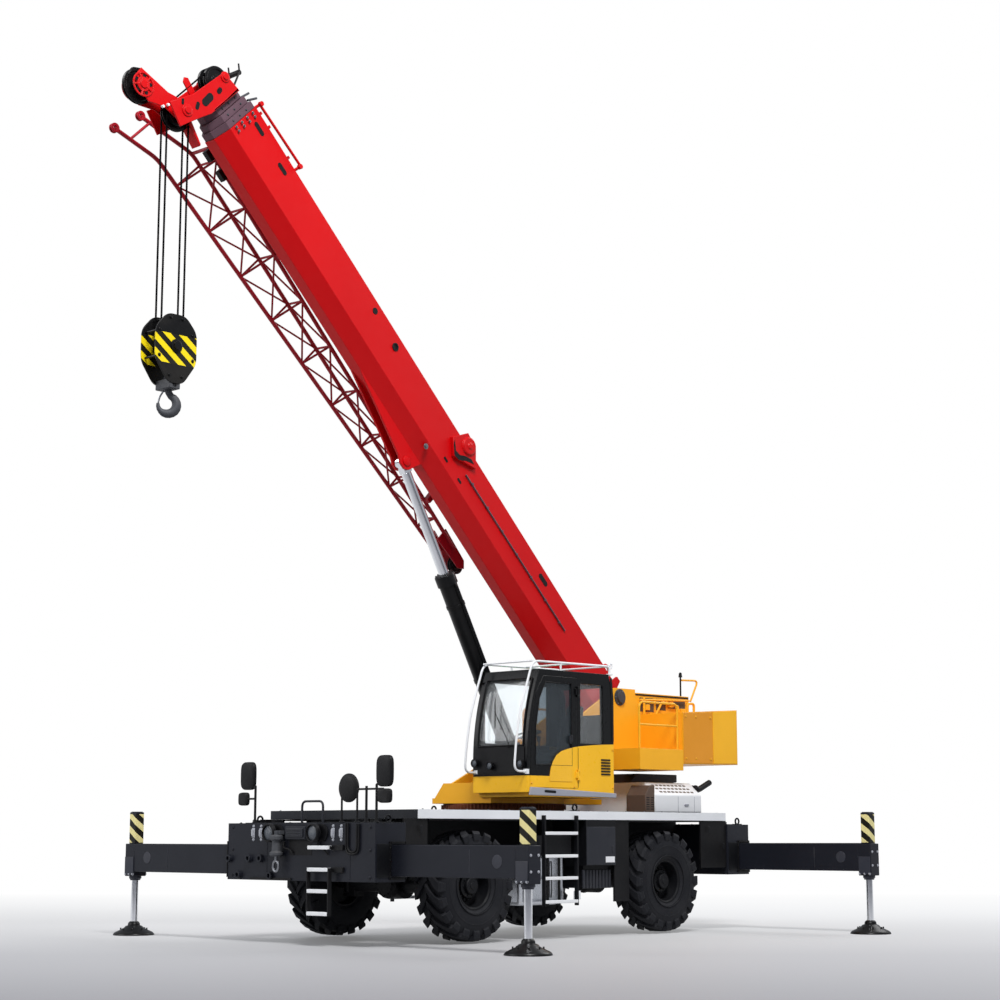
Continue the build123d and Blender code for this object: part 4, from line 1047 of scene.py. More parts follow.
# ---- carrier -------------------------------------------------------------------------------------
@dataclass
class Carrier:
    """Lower frame: decks, boxes, axles, hood, tank, cabinets, ladders, mirrors and front fittings."""

    hole_places: tuple[Point, ...] = (
        (-1.449, 1.126), (-1.02, 1.129), (-0.777, 1.131), (-1.242, 0.906), (-0.568, 0.901),
    )
    lamp_places: tuple[Point, ...] = ((-0.52, 1.475), (0.379, 1.475))
    latch_places: tuple[float, ...] = (-0.952, -0.791, 0.684, 0.844)
    step_x: Point = (0.289, 0.709)
    step_heights: tuple[float, ...] = (1.282, 0.994, 0.714, 0.422)
    ladder_y: Point = (-0.705, -0.015)
    rung_heights: tuple[float, ...] = (1.47, 1.152, 0.844, 0.519)
    ladder_out: float = 0.08
    panel_y: Point = (0.242, 0.88)
    panel_z: Point = (1.018, 1.563)
    ribs_z: Point = (0.685, 0.948)
    hood_shoulder: Point = (1.1, 2.05)
    tooth_count: int = 96
    capstan_x: float = -0.36
    box_depth: float = 0.575
    sleeve: float = 0.016
    tank_top: float = 1.17
    tank_width: float = 0.72
    hood_y: Point = (2.05, 3.18)
    hood_top: float = 2.24
    pipe_z: float = 2.143
    round_mirror: Point = (0.923, 2.06)

    def __post_init__(self) -> None:
        """Reads the places that the fittings are set against."""
        self.deck_low, self.deck_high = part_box("deck_plates")
        self.box_low, self.box_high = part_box("outrigger_boxes")
        self.front = self.box_low.y
        self.face = front_sheet(self.front)
        self.half = self.deck_high.x

    def dress(self) -> None:
        """Finishes of the CAD nodes that stay in view."""
        finishes = {
            "carrier_frame": Coats.carrier_dark, "outrigger_boxes": Coats.carrier,
            "deck_plates": Coats.deck_edge, "slew_ring": Coats.ring_brown, "front_axle": Coats.carrier_dark,
            "rear_axle": Coats.carrier_dark, "driveline": Coats.carrier_dark, "engine_block": Coats.cast,
            "side_cabinets": Coats.carrier_dark,
        }
        for node, finish in finishes.items():
            dress_node(node, finish)

    def front_fittings(self) -> None:
        """Bosses, lamps, latches, black plates that paint the shade of a recess, junction box and hoses on
        the front plate.
        """
        at, out = self.face.at, self.face.normal
        bosses, pins = Shape(), Shape()
        for x, z in self.hole_places:
            bosses.lathe(
                [(0, 0.055), (0.05, 0.05), (0.05, 0.03), (0.01, 0.028), (0.01, 0.0)], at(x, z), out, 24,
            )
            pins.rod(at(x + 0.012, z, 0.008), at(x + 0.012, z, 0.03), 0.022, 0.018, 16)
        bosses.piece("front_bosses", Coats.carrier, "carrier")
        pins.piece("front_boss_pins", Coats.plastic, "carrier")
        bowls, glass = Shape(), Shape()
        for x, z in self.lamp_places:
            place = at(x, z)
            bowls.lathe([
                (0, 0.06), (0.02, 0.075), (0.07, 0.128), (0.115, 0.125), (0.125, 0.115), (0.125, 0.104),
                (0.06, 0.095), (0.045, 0.0),
            ], place, out, 40)
            bowls.plate(self.face, oval(x + 0.06, z, 0.15, 0.115), 0.02)
            glass.lathe([(0.095, 0.1), (0.108, 0.08), (0.114, 0.04), (0.116, 0.0)], place, out, 32)
        bowls.piece("front_lamp_bowls", Coats.plastic, "carrier", replaces=["lamps"])
        glass.piece("front_lamp_lenses", Coats.lens, "carrier")
        latches, latch_bolts = Shape(), Shape()
        for x in self.latch_places:
            latches.plate(self.face, oblong(x - 0.028, x + 0.028, 1.41, 1.54), 0.012)
            latches.block(at(x, 1.475, 0.022), (0.026, 0.03, 0.09))
            latch_bolts.bolts([at(x, z, 0.0) for z in (1.385, 1.565)], out, 0.014, 0.016)
        latches.piece("front_latches", Coats.pale_grey, "carrier", bevel=0.004)
        latch_bolts.piece("front_latch_bolts", Coats.pale_grey, "carrier")
        # Black plates paint the shade of the recess on the front plate.
        recess = Shape().plate(self.face, oblong(-0.199, 0.263, 1.179, 1.38), 0.004)
        recess.plate(self.face, oblong(-0.997, -0.143, 0.846, 0.875), 0.02)
        recess.piece("front_recess_painted_shade", Coats.plastic, "carrier")
        box = Shape().block(at(-0.02, 1.475, 0.03), (0.4, 0.06, 0.17))
        box.block(at(-0.02, 1.475, 0.07), (0.34, 0.02, 0.12))
        for z in (1.44, 1.475, 1.51):
            box.block(at(-0.02, z, 0.083), (0.3, 0.01, 0.008))
        box.piece("front_junction_box", Coats.panel_grey, "carrier", bevel=0.006)
        hoses = Shape()
        for shift, drop in ((0.0, 1.2), (0.035, 1.225)):
            hoses.tube([
                at(0.955 + shift, 1.6, 0.02), at(0.955 + shift, drop, 0.02), at(1.2 - shift, drop, 0.02),
                at(1.2 - shift, 1.59, 0.02),
            ], 0.013, bend=0.1)
        for x in (-0.3, 0.4):
            hoses.tube([
                at(x, 1.36, 0.01), at(x + 0.02, 1.28, 0.05), at(x + 0.16, 1.25, 0.04),
                at(x + 0.2, 1.19, 0.01),
            ], 0.012, bend=0.05)
        hoses.piece("front_hoses", Coats.plastic, "carrier")
        seams = Shape()
        for x in (-0.66, 1.02):
            seams.plate(self.face, oblong(x - 0.004, x + 0.004, 0.86, 1.6), 0.003)
        seams.bolts([at(x, z, 0) for x in (-1.4, 1.4) for z in (0.9, 1.25, 1.55)], out, 0.016, 0.014)
        seams.piece("front_face_seams", Coats.carrier, "carrier")

    def winch_hook(self) -> None:
        """Small capstan with its hook at the front, built over the plain one."""
        x = self.capstan_x
        y = self.front - 0.095
        drum = Shape().lathe([
            (0, 0.03), (0.0, 0.075), (0.02, 0.09), (0.05, 0.09), (0.07, 0.062), (0.2, 0.055), (0.225, 0.09),
            (0.27, 0.09), (0.286, 0.07), (0.286, 0.03), (0.34, 0.03), (0.34, 0.0),
        ], Vector((x, y, 1.162)), Z_AXIS, 32)
        drum.block((x, self.front - 0.045, 1.478), (0.12, 0.088, 0.055))
        drum.piece("capstan", Coats.cast, "carrier", bevel=0.004, replaces=["auxiliary_hook"])
        ring = Shape().tube([
            Vector((x + math.sin(a) * 0.055, y, 1.032 + math.cos(a) * 0.07)) for a in angles(24)
        ], 0.018, closed=True)
        ring.tube([Vector((x, y, 1.16)), Vector((x, y, 1.1))], 0.02)
        ring.piece("capstan_hook", Coats.steel, "carrier")

    def front_steps(self) -> None:
        """White treads on dark arms and posts at the front right of the plate."""
        y = self.front - 0.08
        treads, arms = Shape(), Shape()
        middle = sum(self.step_x) / 2
        for z in self.step_heights:
            treads.block((middle, y, z), (self.step_x[1] - self.step_x[0] - 0.02, 0.078, 0.05))
        for z in self.step_heights[:2]:
            for x in self.step_x:
                arms.block((x, (y + self.front) / 2, z), (0.03, abs(y - self.front), 0.04))
            arms.block((self.step_x[1] + 0.1, self.front - 0.02, z), (0.2, 0.035, 0.07))
        for x in self.step_x:
            arms.block((x, y, (self.step_heights[1] + self.step_heights[3]) / 2), (0.022, 0.06, 0.62))
        treads.piece("front_step_treads", Coats.white, "carrier", bevel=0.006)
        arms.piece("front_step_arms", Coats.plastic, "carrier", bevel=0.003)
        rungs, rails = Shape(), Shape()
        for side in SIGNS:
            x = side * (self.half + self.ladder_out / 2)
            for z in self.rung_heights:
                rungs.block(
                    (x, along(sum(self.ladder_y) / 2), z),
                    (self.ladder_out - 0.01, self.ladder_y[1] - self.ladder_y[0], 0.045),
                )
            for y in self.ladder_y:
                rails.block((x, along(y), 1.09), (self.ladder_out - 0.02, 0.03, 1.26))
        rungs.piece("side_ladder_rungs", Coats.white, "carrier", bevel=0.006, replaces=["access_ladders"])
        rails.piece("side_ladder_rails", Coats.carrier_dark, "carrier", bevel=0.003)

    def mirrors(self) -> None:
        """Rounded mirror heads on thin posts, with the round wide-angle mirror."""
        y = self.front + 0.04
        heads = (
            # x from, x to, z from, z to
            (-1.293, -0.989, 2.062, 2.448), (-1.334, -1.128, 1.848, 2.03),
            (1.469, 1.771, 2.065, 2.474), (1.494, 1.747, 1.856, 2.043),
        )
        round_x, round_z = self.round_mirror
        backs, panes = Shape(), Shape()
        for x0, x1, z0, z1 in heads:
            centre = Vector(((x0 + x1) / 2, y, (z0 + z1) / 2))
            half_x, half_z = (x1 - x0) / 2, (z1 - z0) / 2
            rings = []
            for depth, share in ((-0.028, 0.8), (-0.018, 0.94), (0.0, 1.0), (0.022, 1.0), (0.026, 0.97)):
                ring = []
                for step in range(28):
                    a = 2 * math.pi * step / 28
                    sx = math.copysign(abs(math.cos(a)) ** 0.5, math.cos(a))
                    sz = math.copysign(abs(math.sin(a)) ** 0.45, math.sin(a))
                    ring.append(centre + Vector((half_x * share * sx, depth, half_z * share * sz)))
                rings.append(ring)
            backs.loft(rings)
            panes.loft([
                [centre + (point - centre) * 0.9 + Y_AXIS * out for point in rings[3]]
                for out in (0.0035, 0.006)
            ])
        backs.lathe([
            (0, 0.12), (0.015, 0.175), (0.03, 0.19), (0.05, 0.19), (0.05, 0.18),
        ], Vector((round_x, y - 0.028, round_z)), Y_AXIS, 40, caps=True)
        backs.piece("mirror_backs", Coats.plastic, "carrier", replaces=["mirrors"])
        panes.lathe(
            [(0, 0.178), (0.004, 0.17), (0.006, 0.0)], Vector((round_x, y + 0.023, round_z)), Y_AXIS, 40,
        )
        panes.piece("mirror_panes", Coats.mirror, "carrier")
        posts = Shape()
        top = BOX_TOP
        for x, z in ((1.471, 2.1), (-0.979, 2.12), (1.277, 2.08)):
            posts.rod(Vector((x, y, top)), Vector((x, y, z)), 0.017, sides=12)
        posts.tube(
            [Vector((0.8, y, top)), Vector((0.8, y, 1.97)), Vector((0.93, y, 2.02))], 0.014, bend=0.05,
        )
        posts.tube([Vector((1.1, y, top)), Vector((1.1, y, 2.04)), Vector((1.6, y, 2.04))], 0.014, bend=0.04)
        for x0, x1, z in (
            (-0.979, -1.1, 2.1), (-0.979, -1.15, 1.94), (1.471, 1.6, 1.95), (0.93, 1.12, 2.04),
            (1.471, 1.6, 2.1),
        ):
            posts.rod(Vector((x0, y, z)), Vector((x1, y, z)), 0.014, sides=10)
        for x in (1.471, -0.979, 1.277, 0.8, 1.1):
            posts.lathe([
                (0, 0.04), (0.012, 0.04), (0.02, 0.024), (0.05, 0.022),
            ], Vector((x, y, top)), Z_AXIS, 16, caps=True)
        posts.piece("mirror_posts", Coats.plastic, "carrier")

    def sides(self) -> None:
        """Panels, hand holes, ribs and reflectors on both flanks, and black plates under the deck and in the
        wheel arches that paint the shade there; dark ovals paint the shade inside the hand holes.
        """
        panels, ribs, dark, pale = Shape(), Shape(), Shape(), Shape()
        for side, sheet in both_sides(self.half):
            panels.plate(sheet, oblong(*self.panel_y, *self.panel_z), 0.012)
            panels.plate(sheet.moved(0.012), oval(0.82, 1.24, 0.05, 0.02, 90), 0.008)
            for k in range(9):
                u = self.panel_y[0] + (self.panel_y[1] - self.panel_y[0]) * (k + 0.5) / 9
                ribs.plate(sheet.moved(-0.1), oblong(u - 0.026, u + 0.026, *self.ribs_z), 0.03)
            # Black plates set in from the sides paint the shade in the wheel arches.
            for u0, u1, v0 in ((0.9, 1.23, 0.49), (-3.36, -2.93, 0.95), (2.95, 3.59, 0.95)):
                dark.plate(sheet.moved(-0.06), oblong(u0, u1, v0, 1.662), 0.03)
            for u in (-0.769, -0.081):
                pale.plate(sheet.moved(-0.05), oval(u, 1.305, 0.13, 0.032, 90), 0.012)
                # Dark ovals paint the shade inside the hand holes.
                dark.plate(sheet.moved(-0.038), oval(u, 1.305, 0.12, 0.022, 90), 0.003)
            pale.plate(sheet.moved(-0.03), oblong(-0.79, -0.05, 1.17, 1.44), -0.02)
            # Black plates under the deck paint the shade that lies there.
            for u, length in ((-1.93, 1.96), (1.93, 2.0)):
                dark.block((side * 0.985, along(u), 1.651), (0.99, length, 0.02))
            for u, v in ((-3.078, 1.526), (3.124, 1.531), (3.484, 1.272)):
                pale.plate(sheet, oval(u, v, 0.05, 0.022, 90), 0.006)
        panels.piece("side_panels", Coats.panel_grey, "carrier", bevel=0.005)
        ribs.piece("side_ribs", Coats.panel_grey, "carrier", bevel=0.006)
        dark.piece("wheel_arch_and_hand_hole_shade", Coats.plastic, "carrier")
        pale.piece("side_hand_holes", Coats.carrier_dark, "carrier", bevel=0.003)
        box = Shape().block((self.half - 0.012, along(0.053), 0.6), (0.03, 0.12, 0.12))
        box.plate(side_sheet(self.half + 0.012), oblong(0.657, 0.86, 1.053, 1.138), 0.002)
        box.piece("side_white_box", Coats.white, "carrier", bevel=0.001)

    def rails(self) -> None:
        """Hand loop on the front box and the lifting eyes on the deck's edges."""
        box_top, deck_top = self.box_high.z, self.deck_high.z
        y = along(-3.78)
        loop = Shape().tube([
            Vector((-0.086, y, box_top)), Vector((-0.086, y, 1.895)), Vector((0.338, y, 1.895)),
            Vector((0.338, y, box_top)),
        ], 0.016, bend=0.08)
        loop.piece("hand_loop", Coats.panel_grey, "carrier", replaces=["deck_rails"])
        eyes = Shape()
        for x, u, z in (
            (1.44, 0.065, deck_top), (-1.44, 0.065, deck_top), (1.42, -3.6, box_top),
            (-1.178, -3.6, box_top), (1.42, 3.95, box_top), (-1.42, 3.95, box_top),
        ):
            eyes.tube(circle(spot(x, u, z + 0.05), 0.045, 20), 0.014, closed=True)
            eyes.block((x, along(u), z + 0.006), (0.09, 0.13, 0.012))
        eyes.piece("lifting_eyes", Coats.carrier_dark, "carrier")

    def deck_details(self) -> None:
        """Plate joints, bolt rows and tread bars on the deck, and the toothed slewing ring."""
        top = self.deck_high.z
        lines, bolts = Shape(), Shape()
        for y in (-2.4, -1.5, 1.45, 3.4):
            lines.block((0, along(y), top + 0.001), (2 * self.half - 0.06, 0.012, 0.002))
        for side in SIGNS:
            bolts.bolts([
                spot(side * (self.half - 0.05), -3.0 + 0.42 * k, top) for k in range(15)
            ], Z_AXIS, 0.011, 0.012)
            for row in range(12):
                lines.block((side * 1.2, along(-2.9 + row * 0.12), top + 0.002), (0.3, 0.02, 0.004))
        lines.piece("deck_lines", Coats.sill_grey, "carrier")
        bolts.piece("deck_bolts", Coats.steel, "carrier")
        centre = pivot("slew")
        teeth = Shape()
        rings = []
        for z in (0.035, 0.1):
            ring = []
            for tooth in range(self.tooth_count):
                for share, radius in ((0.0, 0.901), (0.2, 0.93), (0.5, 0.93), (0.7, 0.901)):
                    a = 2 * math.pi * (tooth + share) / self.tooth_count
                    ring.append(Vector((math.cos(a) * radius, centre.y + math.sin(a) * radius, top + z)))
            rings.append(ring)
        teeth.loft(rings)
        teeth.piece("slew_teeth", Coats.ring_brown, "carrier")

    def hood(self) -> None:
        """White engine hood with a perforated shoulder, a dark duct on it and a slotted vent in front."""
        deck = self.deck_high.z
        front, rear = map(along, self.hood_y)
        half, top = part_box("engine_hood")[1].x, self.hood_top
        shoulder_x, shoulder_z = self.hood_shoulder
        profile = [
            (-half, deck), (-half, shoulder_z), (-shoulder_x, top), (shoulder_x, top), (half, shoulder_z),
            (half, deck),
        ]
        body = Shape().prism([Vector((x, front, z)) for x, z in profile], Y_AXIS * (rear - front))
        body.piece("hood_cover", Coats.white, "carrier", bevel=0.018, replaces=["engine_hood"])
        holes = Shape()
        for side in SIGNS:
            slope = Vector((side * (half - shoulder_x), 0, shoulder_z - top))
            across = slope.normalized()
            normal = Vector((abs(across.z) * side, 0, abs(across.x)))
            start = Vector((side * shoulder_x, front, top))
            for row in range(3):
                for column in range(9):
                    shift = Y_AXIS * (0.14 + 0.095 * column + 0.03 * row)
                    place = start + slope * (0.24 + 0.26 * row) + shift
                    corners = [
                        place + Y_AXIS * a + across * b
                        for a, b in ((-0.032, -0.016), (0.032, -0.016), (0.032, 0.016), (-0.032, 0.016))
                    ]
                    holes.prism([corner - normal * 0.004 for corner in corners], normal * 0.006)
        holes.piece("hood_slots", Coats.vent_brown_and_opening_shade, "carrier")
        duct = Shape().prism([
            spot(-0.6, u, z) for u, z in ((2.3, top), (2.5, 2.39), (3.48, 2.39), (3.48, 2.27), (3.2, top))
        ], X_AXIS * 1.2)
        duct.piece("hood_duct", Coats.slab_grey, "carrier", bevel=0.01)
        vent, slots = Shape(), Shape()
        for side in SIGNS:
            vent.prism([
                spot(side * 0.92, u, z)
                for u, z in ((1.84, deck), (1.84, 2.04), (1.95, 2.19), (2.06, 2.19), (2.06, deck))
            ], X_AXIS * side * 0.38)
            for k in range(6):
                z = deck + 0.05 + 0.034 * k
                for y in (1.895, 2.005):
                    slots.block((side * 1.3, along(y), z), (0.006, 0.07, 0.012))
        vent.piece("hood_vents", Coats.vent_brown_and_opening_shade, "carrier", bevel=0.01)
        slots.piece("hood_vent_slots", Coats.plastic, "carrier")
        lines = Shape()
        for side, sheet in both_sides(half):
            for u in (2.6, 3.0):
                lines.plate(sheet, oblong(u - 0.003, u + 0.003, deck, shoulder_z - 0.02), 0.002)
            lines.plate(sheet, oval(2.8, 1.9, 0.05, 0.014), 0.012)
        lines.piece("hood_seams", Coats.sill_grey, "carrier")
        pipe = Shape()
        x = middle_of("exhaust_stack").x
        pipe.tube([
            Vector((x, rear - 0.005, self.pipe_z)), spot(x, 3.26, self.pipe_z), spot(x, 3.545, 2.26),
        ], 0.045, bend=0.08, sides=20)
        pipe.lathe([
            (0, 0.07), (0.012, 0.07), (0.012, 0.047),
        ], Vector((x, rear, self.pipe_z)), Y_AXIS, 24, caps=True)
        pipe.tube([
            Vector((x - 0.2, rear, 2.12)), Vector((x - 0.2, rear + 0.1, 2.13)),
            Vector((x - 0.2, rear + 0.2, 2.2)),
        ], 0.022, bend=0.06)
        pipe.piece("exhaust_pipe", Coats.plastic, "carrier", replaces=["exhaust_stack"])

    def tank(self) -> None:
        """Silver tank with rounded edges, dark straps, a filler cap and a sight pipe."""
        low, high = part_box("fuel_tank")
        left, top = high.x - self.tank_width, self.tank_top
        middle = Vector(((left + high.x) / 2, (low.y + high.y) / 2, (low.z + top) / 2))
        body = Shape().block(middle, (high.x - left, high.y - low.y, top - low.z))
        body.piece("tank_body", Coats.tank, "carrier", bevel=0.05, replaces=["fuel_tank"])
        straps = Shape()
        for y in (low.y + 0.16, low.y + 0.58, high.y - 0.12):
            straps.block((middle.x, y, middle.z), (high.x - left + 0.016, 0.05, top - low.z + 0.016))
        for y in (low.y + 0.16, high.y - 0.12):
            straps.block(((0.48 + left) / 2, y, 1.08), (left - 0.48 + 0.06, 0.08, 0.12))
        straps.piece("tank_straps", Coats.plastic, "carrier", bevel=0.004)
        cap = Shape().lathe([
            (0, 0.06), (0.05, 0.06), (0.06, 0.05), (0.06, 0.0),
        ], Vector((high.x - 0.15, low.y + 0.35, 1.168)), Z_AXIS, 24)
        cap.tube([
            Vector((high.x + 0.012, high.y - 0.3, low.z + 0.1)),
            Vector((high.x + 0.02, high.y - 0.3, low.z + 0.2)), Vector((high.x + 0.02, high.y - 0.3, 1.0)),
            Vector((high.x + 0.012, high.y - 0.3, 1.08)),
        ], 0.008, bend=0.03)
        cap.piece("tank_fittings", Coats.plastic, "carrier")

    def running_gear(self) -> None:
        """Suspension cylinders, steering rods and axle bolts."""
        struts, rods = Shape(), Shape()
        for end in ENDS:
            y = pivot(f"steer_{end}l").y
            for side in SIGNS:
                struts.rod(Vector((side * 0.6, y - 0.16, 0.86)), Vector((side * 0.52, y - 0.16, 1.2)), 0.045)
                rods.rod(Vector((side * 0.52, y - 0.16, 1.2)), Vector((side * 0.47, y - 0.16, 1.42)), 0.028)
                struts.block((side * 0.6, y - 0.1, 0.85), (0.1, 0.16, 0.06))
                struts.block((side * 0.475, y - 0.16, 1.43), (0.06, 0.12, 0.1))
            hub = Vector((0, y, middle_of("tyre_fl").z))
            struts.lathe([
                (0, 0.0), (0, 0.14), (0.03, 0.165), (0.05, 0.19), (0.1, 0.2),
            ], hub - Y_AXIS * 0.27, Y_AXIS, 32)
            struts.bolts(circle(hub - Y_AXIS * 0.262, 0.15, 12, X_AXIS), -Y_AXIS, 0.011, 0.014)
        struts.piece("axle_fittings", Coats.carrier_dark, "carrier")
        rods.piece("suspension_rods", Coats.chrome, "carrier")

    def rear_face(self) -> None:
        """Tail lamps, a blank plate, a tow hook and ribs on the rear box."""
        y = self.box_high.y
        sheet = Sheet(Vector((0, y, 0)), -X_AXIS, Z_AXIS)
        housings, lenses, hook = Shape(), Shape(), Shape()
        for side in SIGNS:
            housings.plate(sheet, oblong(side * 1.12 - 0.2, side * 1.12 + 0.2, 1.42, 1.56), 0.02)
            for lens in (-0.12, 0.0, 0.12):
                lenses.lathe([
                    (0, 0.05), (0.012, 0.048), (0.018, 0.0),
                ], sheet.at(side * 1.12 + lens, 1.49, 0.02), sheet.normal, 24)
            housings.bolts(
                [sheet.at(side * x, z) for x in (0.7, 1.42) for z in (0.9, 1.3)], sheet.normal, 0.018, 0.014,
            )
        housings.plate(sheet, oblong(-0.26, 0.26, 1.42, 1.54), 0.008)
        housings.piece("tail_lamp_housings", Coats.plastic, "carrier", bevel=0.004)
        lenses.piece("tail_lamp_lenses", Coats.tail_red, "carrier")
        hook.block(sheet.at(0, 0.95, 0.02), (0.26, 0.04, 0.18))
        hook.tube([
            sheet.at(-0.05, 0.95, 0.03), sheet.at(-0.05, 0.95, 0.12), sheet.at(0.05, 0.95, 0.12),
            sheet.at(0.05, 0.95, 0.03),
        ], 0.02, bend=0.05)
        hook.bolts(
            [sheet.at(x, z, 0.04) for x in (-0.1, 0.1) for z in (0.89, 1.01)], sheet.normal, 0.014, 0.014,
        )
        hook.piece("tow_hook", Coats.cast, "carrier", bevel=0.006)
        ribs = Shape()
        for x in (-0.9, -0.45, 0.45, 0.9):
            ribs.plate(sheet, oblong(x - 0.01, x + 0.01, 0.86, 1.4), 0.012)
        ribs.piece("rear_face_ribs", Coats.carrier, "carrier", bevel=0.003)

    def box_details(self) -> None:
        """Black collars around the beams' mouths, top plates, hose guards and bolts on the two boxes."""
        sleeves, tops = Shape(), Shape()
        for end in ENDS:
            for side_name, side, other_side in (("l", 1, "r"), ("r", -1, "l")):
                y = middle_of(f"outrigger_beam_{end}{side_name}").y
                out = side * (self.half + self.sleeve / 2)
                for way in (-1, 1):
                    sleeves.block((out, y, BEAM_Z + way * 0.2305), (self.sleeve, 0.276, 0.03))
                    sleeves.block((out, y + way * 0.1375, BEAM_Z), (self.sleeve, 0.03, 0.49))
                    spots = [
                        Vector((side * (self.half + self.sleeve), y + way * 0.137, z))
                        for z in (0.95, 1.12, 1.28)
                    ]
                    sleeves.bolts(spots, X_AXIS * side, 0.009, 0.01)
                other = middle_of(f"outrigger_beam_{end}{other_side}").y
                tops.block((side * (self.half + 0.004), other, BEAM_Z), (0.012, 0.24, 0.43))
            y0 = self.box_low.y if end == "f" else self.box_high.y - self.box_depth
            middle = y0 + self.box_depth / 2
            tops.block((0, middle, BOX_TOP + 0.004), (2.6, 0.3, 0.008))
            for x in (-1.2, -0.8, 0.9, 1.2):
                tops.block((x, middle, BOX_TOP + 0.023), (0.09, 0.14, 0.04))
            tops.bolts(
                [Vector((-1.3 + 0.26 * k, y0 + 0.06, BOX_TOP)) for k in range(11)], Z_AXIS, 0.013, 0.012,
            )
        sleeves.piece("beam_collars", Coats.plastic, "carrier")
        tops.piece("box_top_fittings", Coats.carrier_dark, "carrier", bevel=0.004)

    def build(self) -> None:
        """Makes every fitting of the carrier."""
        self.dress()
        self.front_fittings()
        self.winch_hook()
        self.front_steps()
        self.mirrors()
        self.sides()
        self.rails()
        self.deck_details()
        self.hood()
        self.tank()
        self.running_gear()
        self.rear_face()
        self.box_details()


@dataclass
class Outriggers:
    """Four beams with striped posts, chrome jack rods and round pads."""

    rod_radius: float = 0.052
    disc_radius: float = 0.085
    beam_width: float = 0.22
    beam_height: float = 0.406
    foot_z: float = 1.085
    foot_height: float = 0.47
    post_z: float = 1.549
    post_width: float = 0.15
    post_height: float = 0.458

    def jack(self, at: str) -> None:
        """Pad, ball joint and chrome rod of one jack.

        Args:
            at: End and side of the jack, as in "fl".
        """
        low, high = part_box(f"outrigger_jack_{at}")
        foot = Vector(((low.x + high.x) / 2, (low.y + high.y) / 2, low.z))
        radius = (high.x - low.x) / 2
        pad = Shape().lathe([
            (0, radius), (0.012, radius), (0.03, radius - 0.012), (0.045, radius - 0.03), (0.1, 0.15),
            (0.13, 0.12), (0.14, 0.09), (0.17, 0.085), (0.19, 0.07), (0.2, 0.052),
        ], foot, Z_AXIS, 48, caps=True)
        for a in angles(8):
            way = Vector((math.cos(a), math.sin(a), 0))
            pad.block(foot + way * 0.19 + Z_AXIS * 0.07, (0.02, 0.02, 0.07), Matrix.Rotation(a, 3, "Z"))
        pad.piece(
            f"jack_pad_{at}", Coats.black, f"jack_{at}", bevel=0.003, replaces=[f"outrigger_jack_{at}"],
        )
        rod = Shape().rod(foot + Z_AXIS * 0.19, Vector((foot.x, foot.y, high.z)), self.rod_radius, sides=32)
        rod.piece(f"jack_rod_{at}", Coats.chrome, f"jack_{at}")

    def beam(self, at: str, side: int) -> None:
        """Discs, gland ring, cap and bolts on one beam.

        Args:
            at: End and side of the beam.
            side: 1 on the left, -1 on the right.
        """
        low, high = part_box(f"outrigger_beam_{at}")
        middle = (low.y + high.y) / 2
        post = Vector((middle_of(f"outrigger_jack_{at}").x, middle, low.z))
        width = self.beam_width
        half = width / 2
        start, end = low.x if side > 0 else high.x, post.x - side * half
        body = Shape().block(
            (start / 2 + end / 2, middle, BEAM_Z), (abs(end - start), width, self.beam_height),
        )
        body.block((post.x, middle, self.foot_z), (width, width, self.foot_height))
        body.block((post.x, middle, self.post_z), (self.post_width, self.post_width, self.post_height))
        body.piece(
            f"beam_body_{at}", Coats.beam, f"beam_{at}", bevel=0.008, replaces=[f"outrigger_beam_{at}"],
        )
        fittings, pale = Shape(), Shape()
        for face in (-1, 1):
            disc = Vector((post.x - side * 0.42, middle + face * half, 1.12))
            radius = self.disc_radius
            fittings.lathe(
                [(0, radius), (0.004, radius), (0.005, radius - 0.006), (0.005, 0)], disc, Y_AXIS * face, 32,
            )
            fittings.block((post.x - side * 0.9, middle + face * (half + 0.0005), 1.12), (0.006, 0.006, 0.3))
        fittings.lathe([
            (0.0, 0.058), (0.0, 0.09), (-0.03, 0.09), (-0.045, 0.075), (-0.06, 0.075), (-0.06, 0.058),
        ], post, Z_AXIS, 32)
        fittings.block((post.x, middle, high.z + 0.003), (0.12, 0.12, 0.012))
        for face in (-1, 1):
            fittings.block((post.x, middle + face * 0.117, 1.0), (0.2, 0.012, 0.26))
        fittings.piece(f"beam_fittings_{at}", Coats.beam_plain, f"beam_{at}", bevel=0.003)
        for dx in (-0.085, 0.0, 0.085):
            for face in (-1, 1):
                pale.bolts(
                    [Vector((post.x + dx, middle + face * half, low.z + 0.03))], Y_AXIS * face, 0.014, 0.02,
                )
        for z in (1.0, 1.2):
            pale.bolts([
                Vector((post.x + side * half, middle + dy, z)) for dy in (-0.07, 0.07)
            ], X_AXIS * side, 0.013, 0.014)
        pale.piece(f"beam_bolts_{at}", Coats.pale_grey, f"beam_{at}")

    def build(self) -> None:
        """Dresses the beams and builds a jack under each post."""
        for at, side in SPOTS.items():
            self.jack(at)
            self.beam(at, side)


# ---- slewing part --------------------------------------------------------------------------------
def reshaped(
    node: str, name: str, finish: Finish, body: str, move: Callable[[Vector], Vector],
) -> bpy.types.Object:
    """A copy of a CAD node's mesh with its points moved, which stands for the node.

    Args:
        node: The CAD node.
        name: Name of the piece.
        finish: Its finish.
        body: The CAD body it moves with.
        move: Gives a point's new place.

    Returns:
        The new object.
    """
    data = frame["nodes"][node].data.copy()
    data.name = name
    for vert in data.vertices:
        vert.co = move(vert.co.copy())
    data.materials.clear()
    return add_piece(name, data, finish, body, replaces=[node])


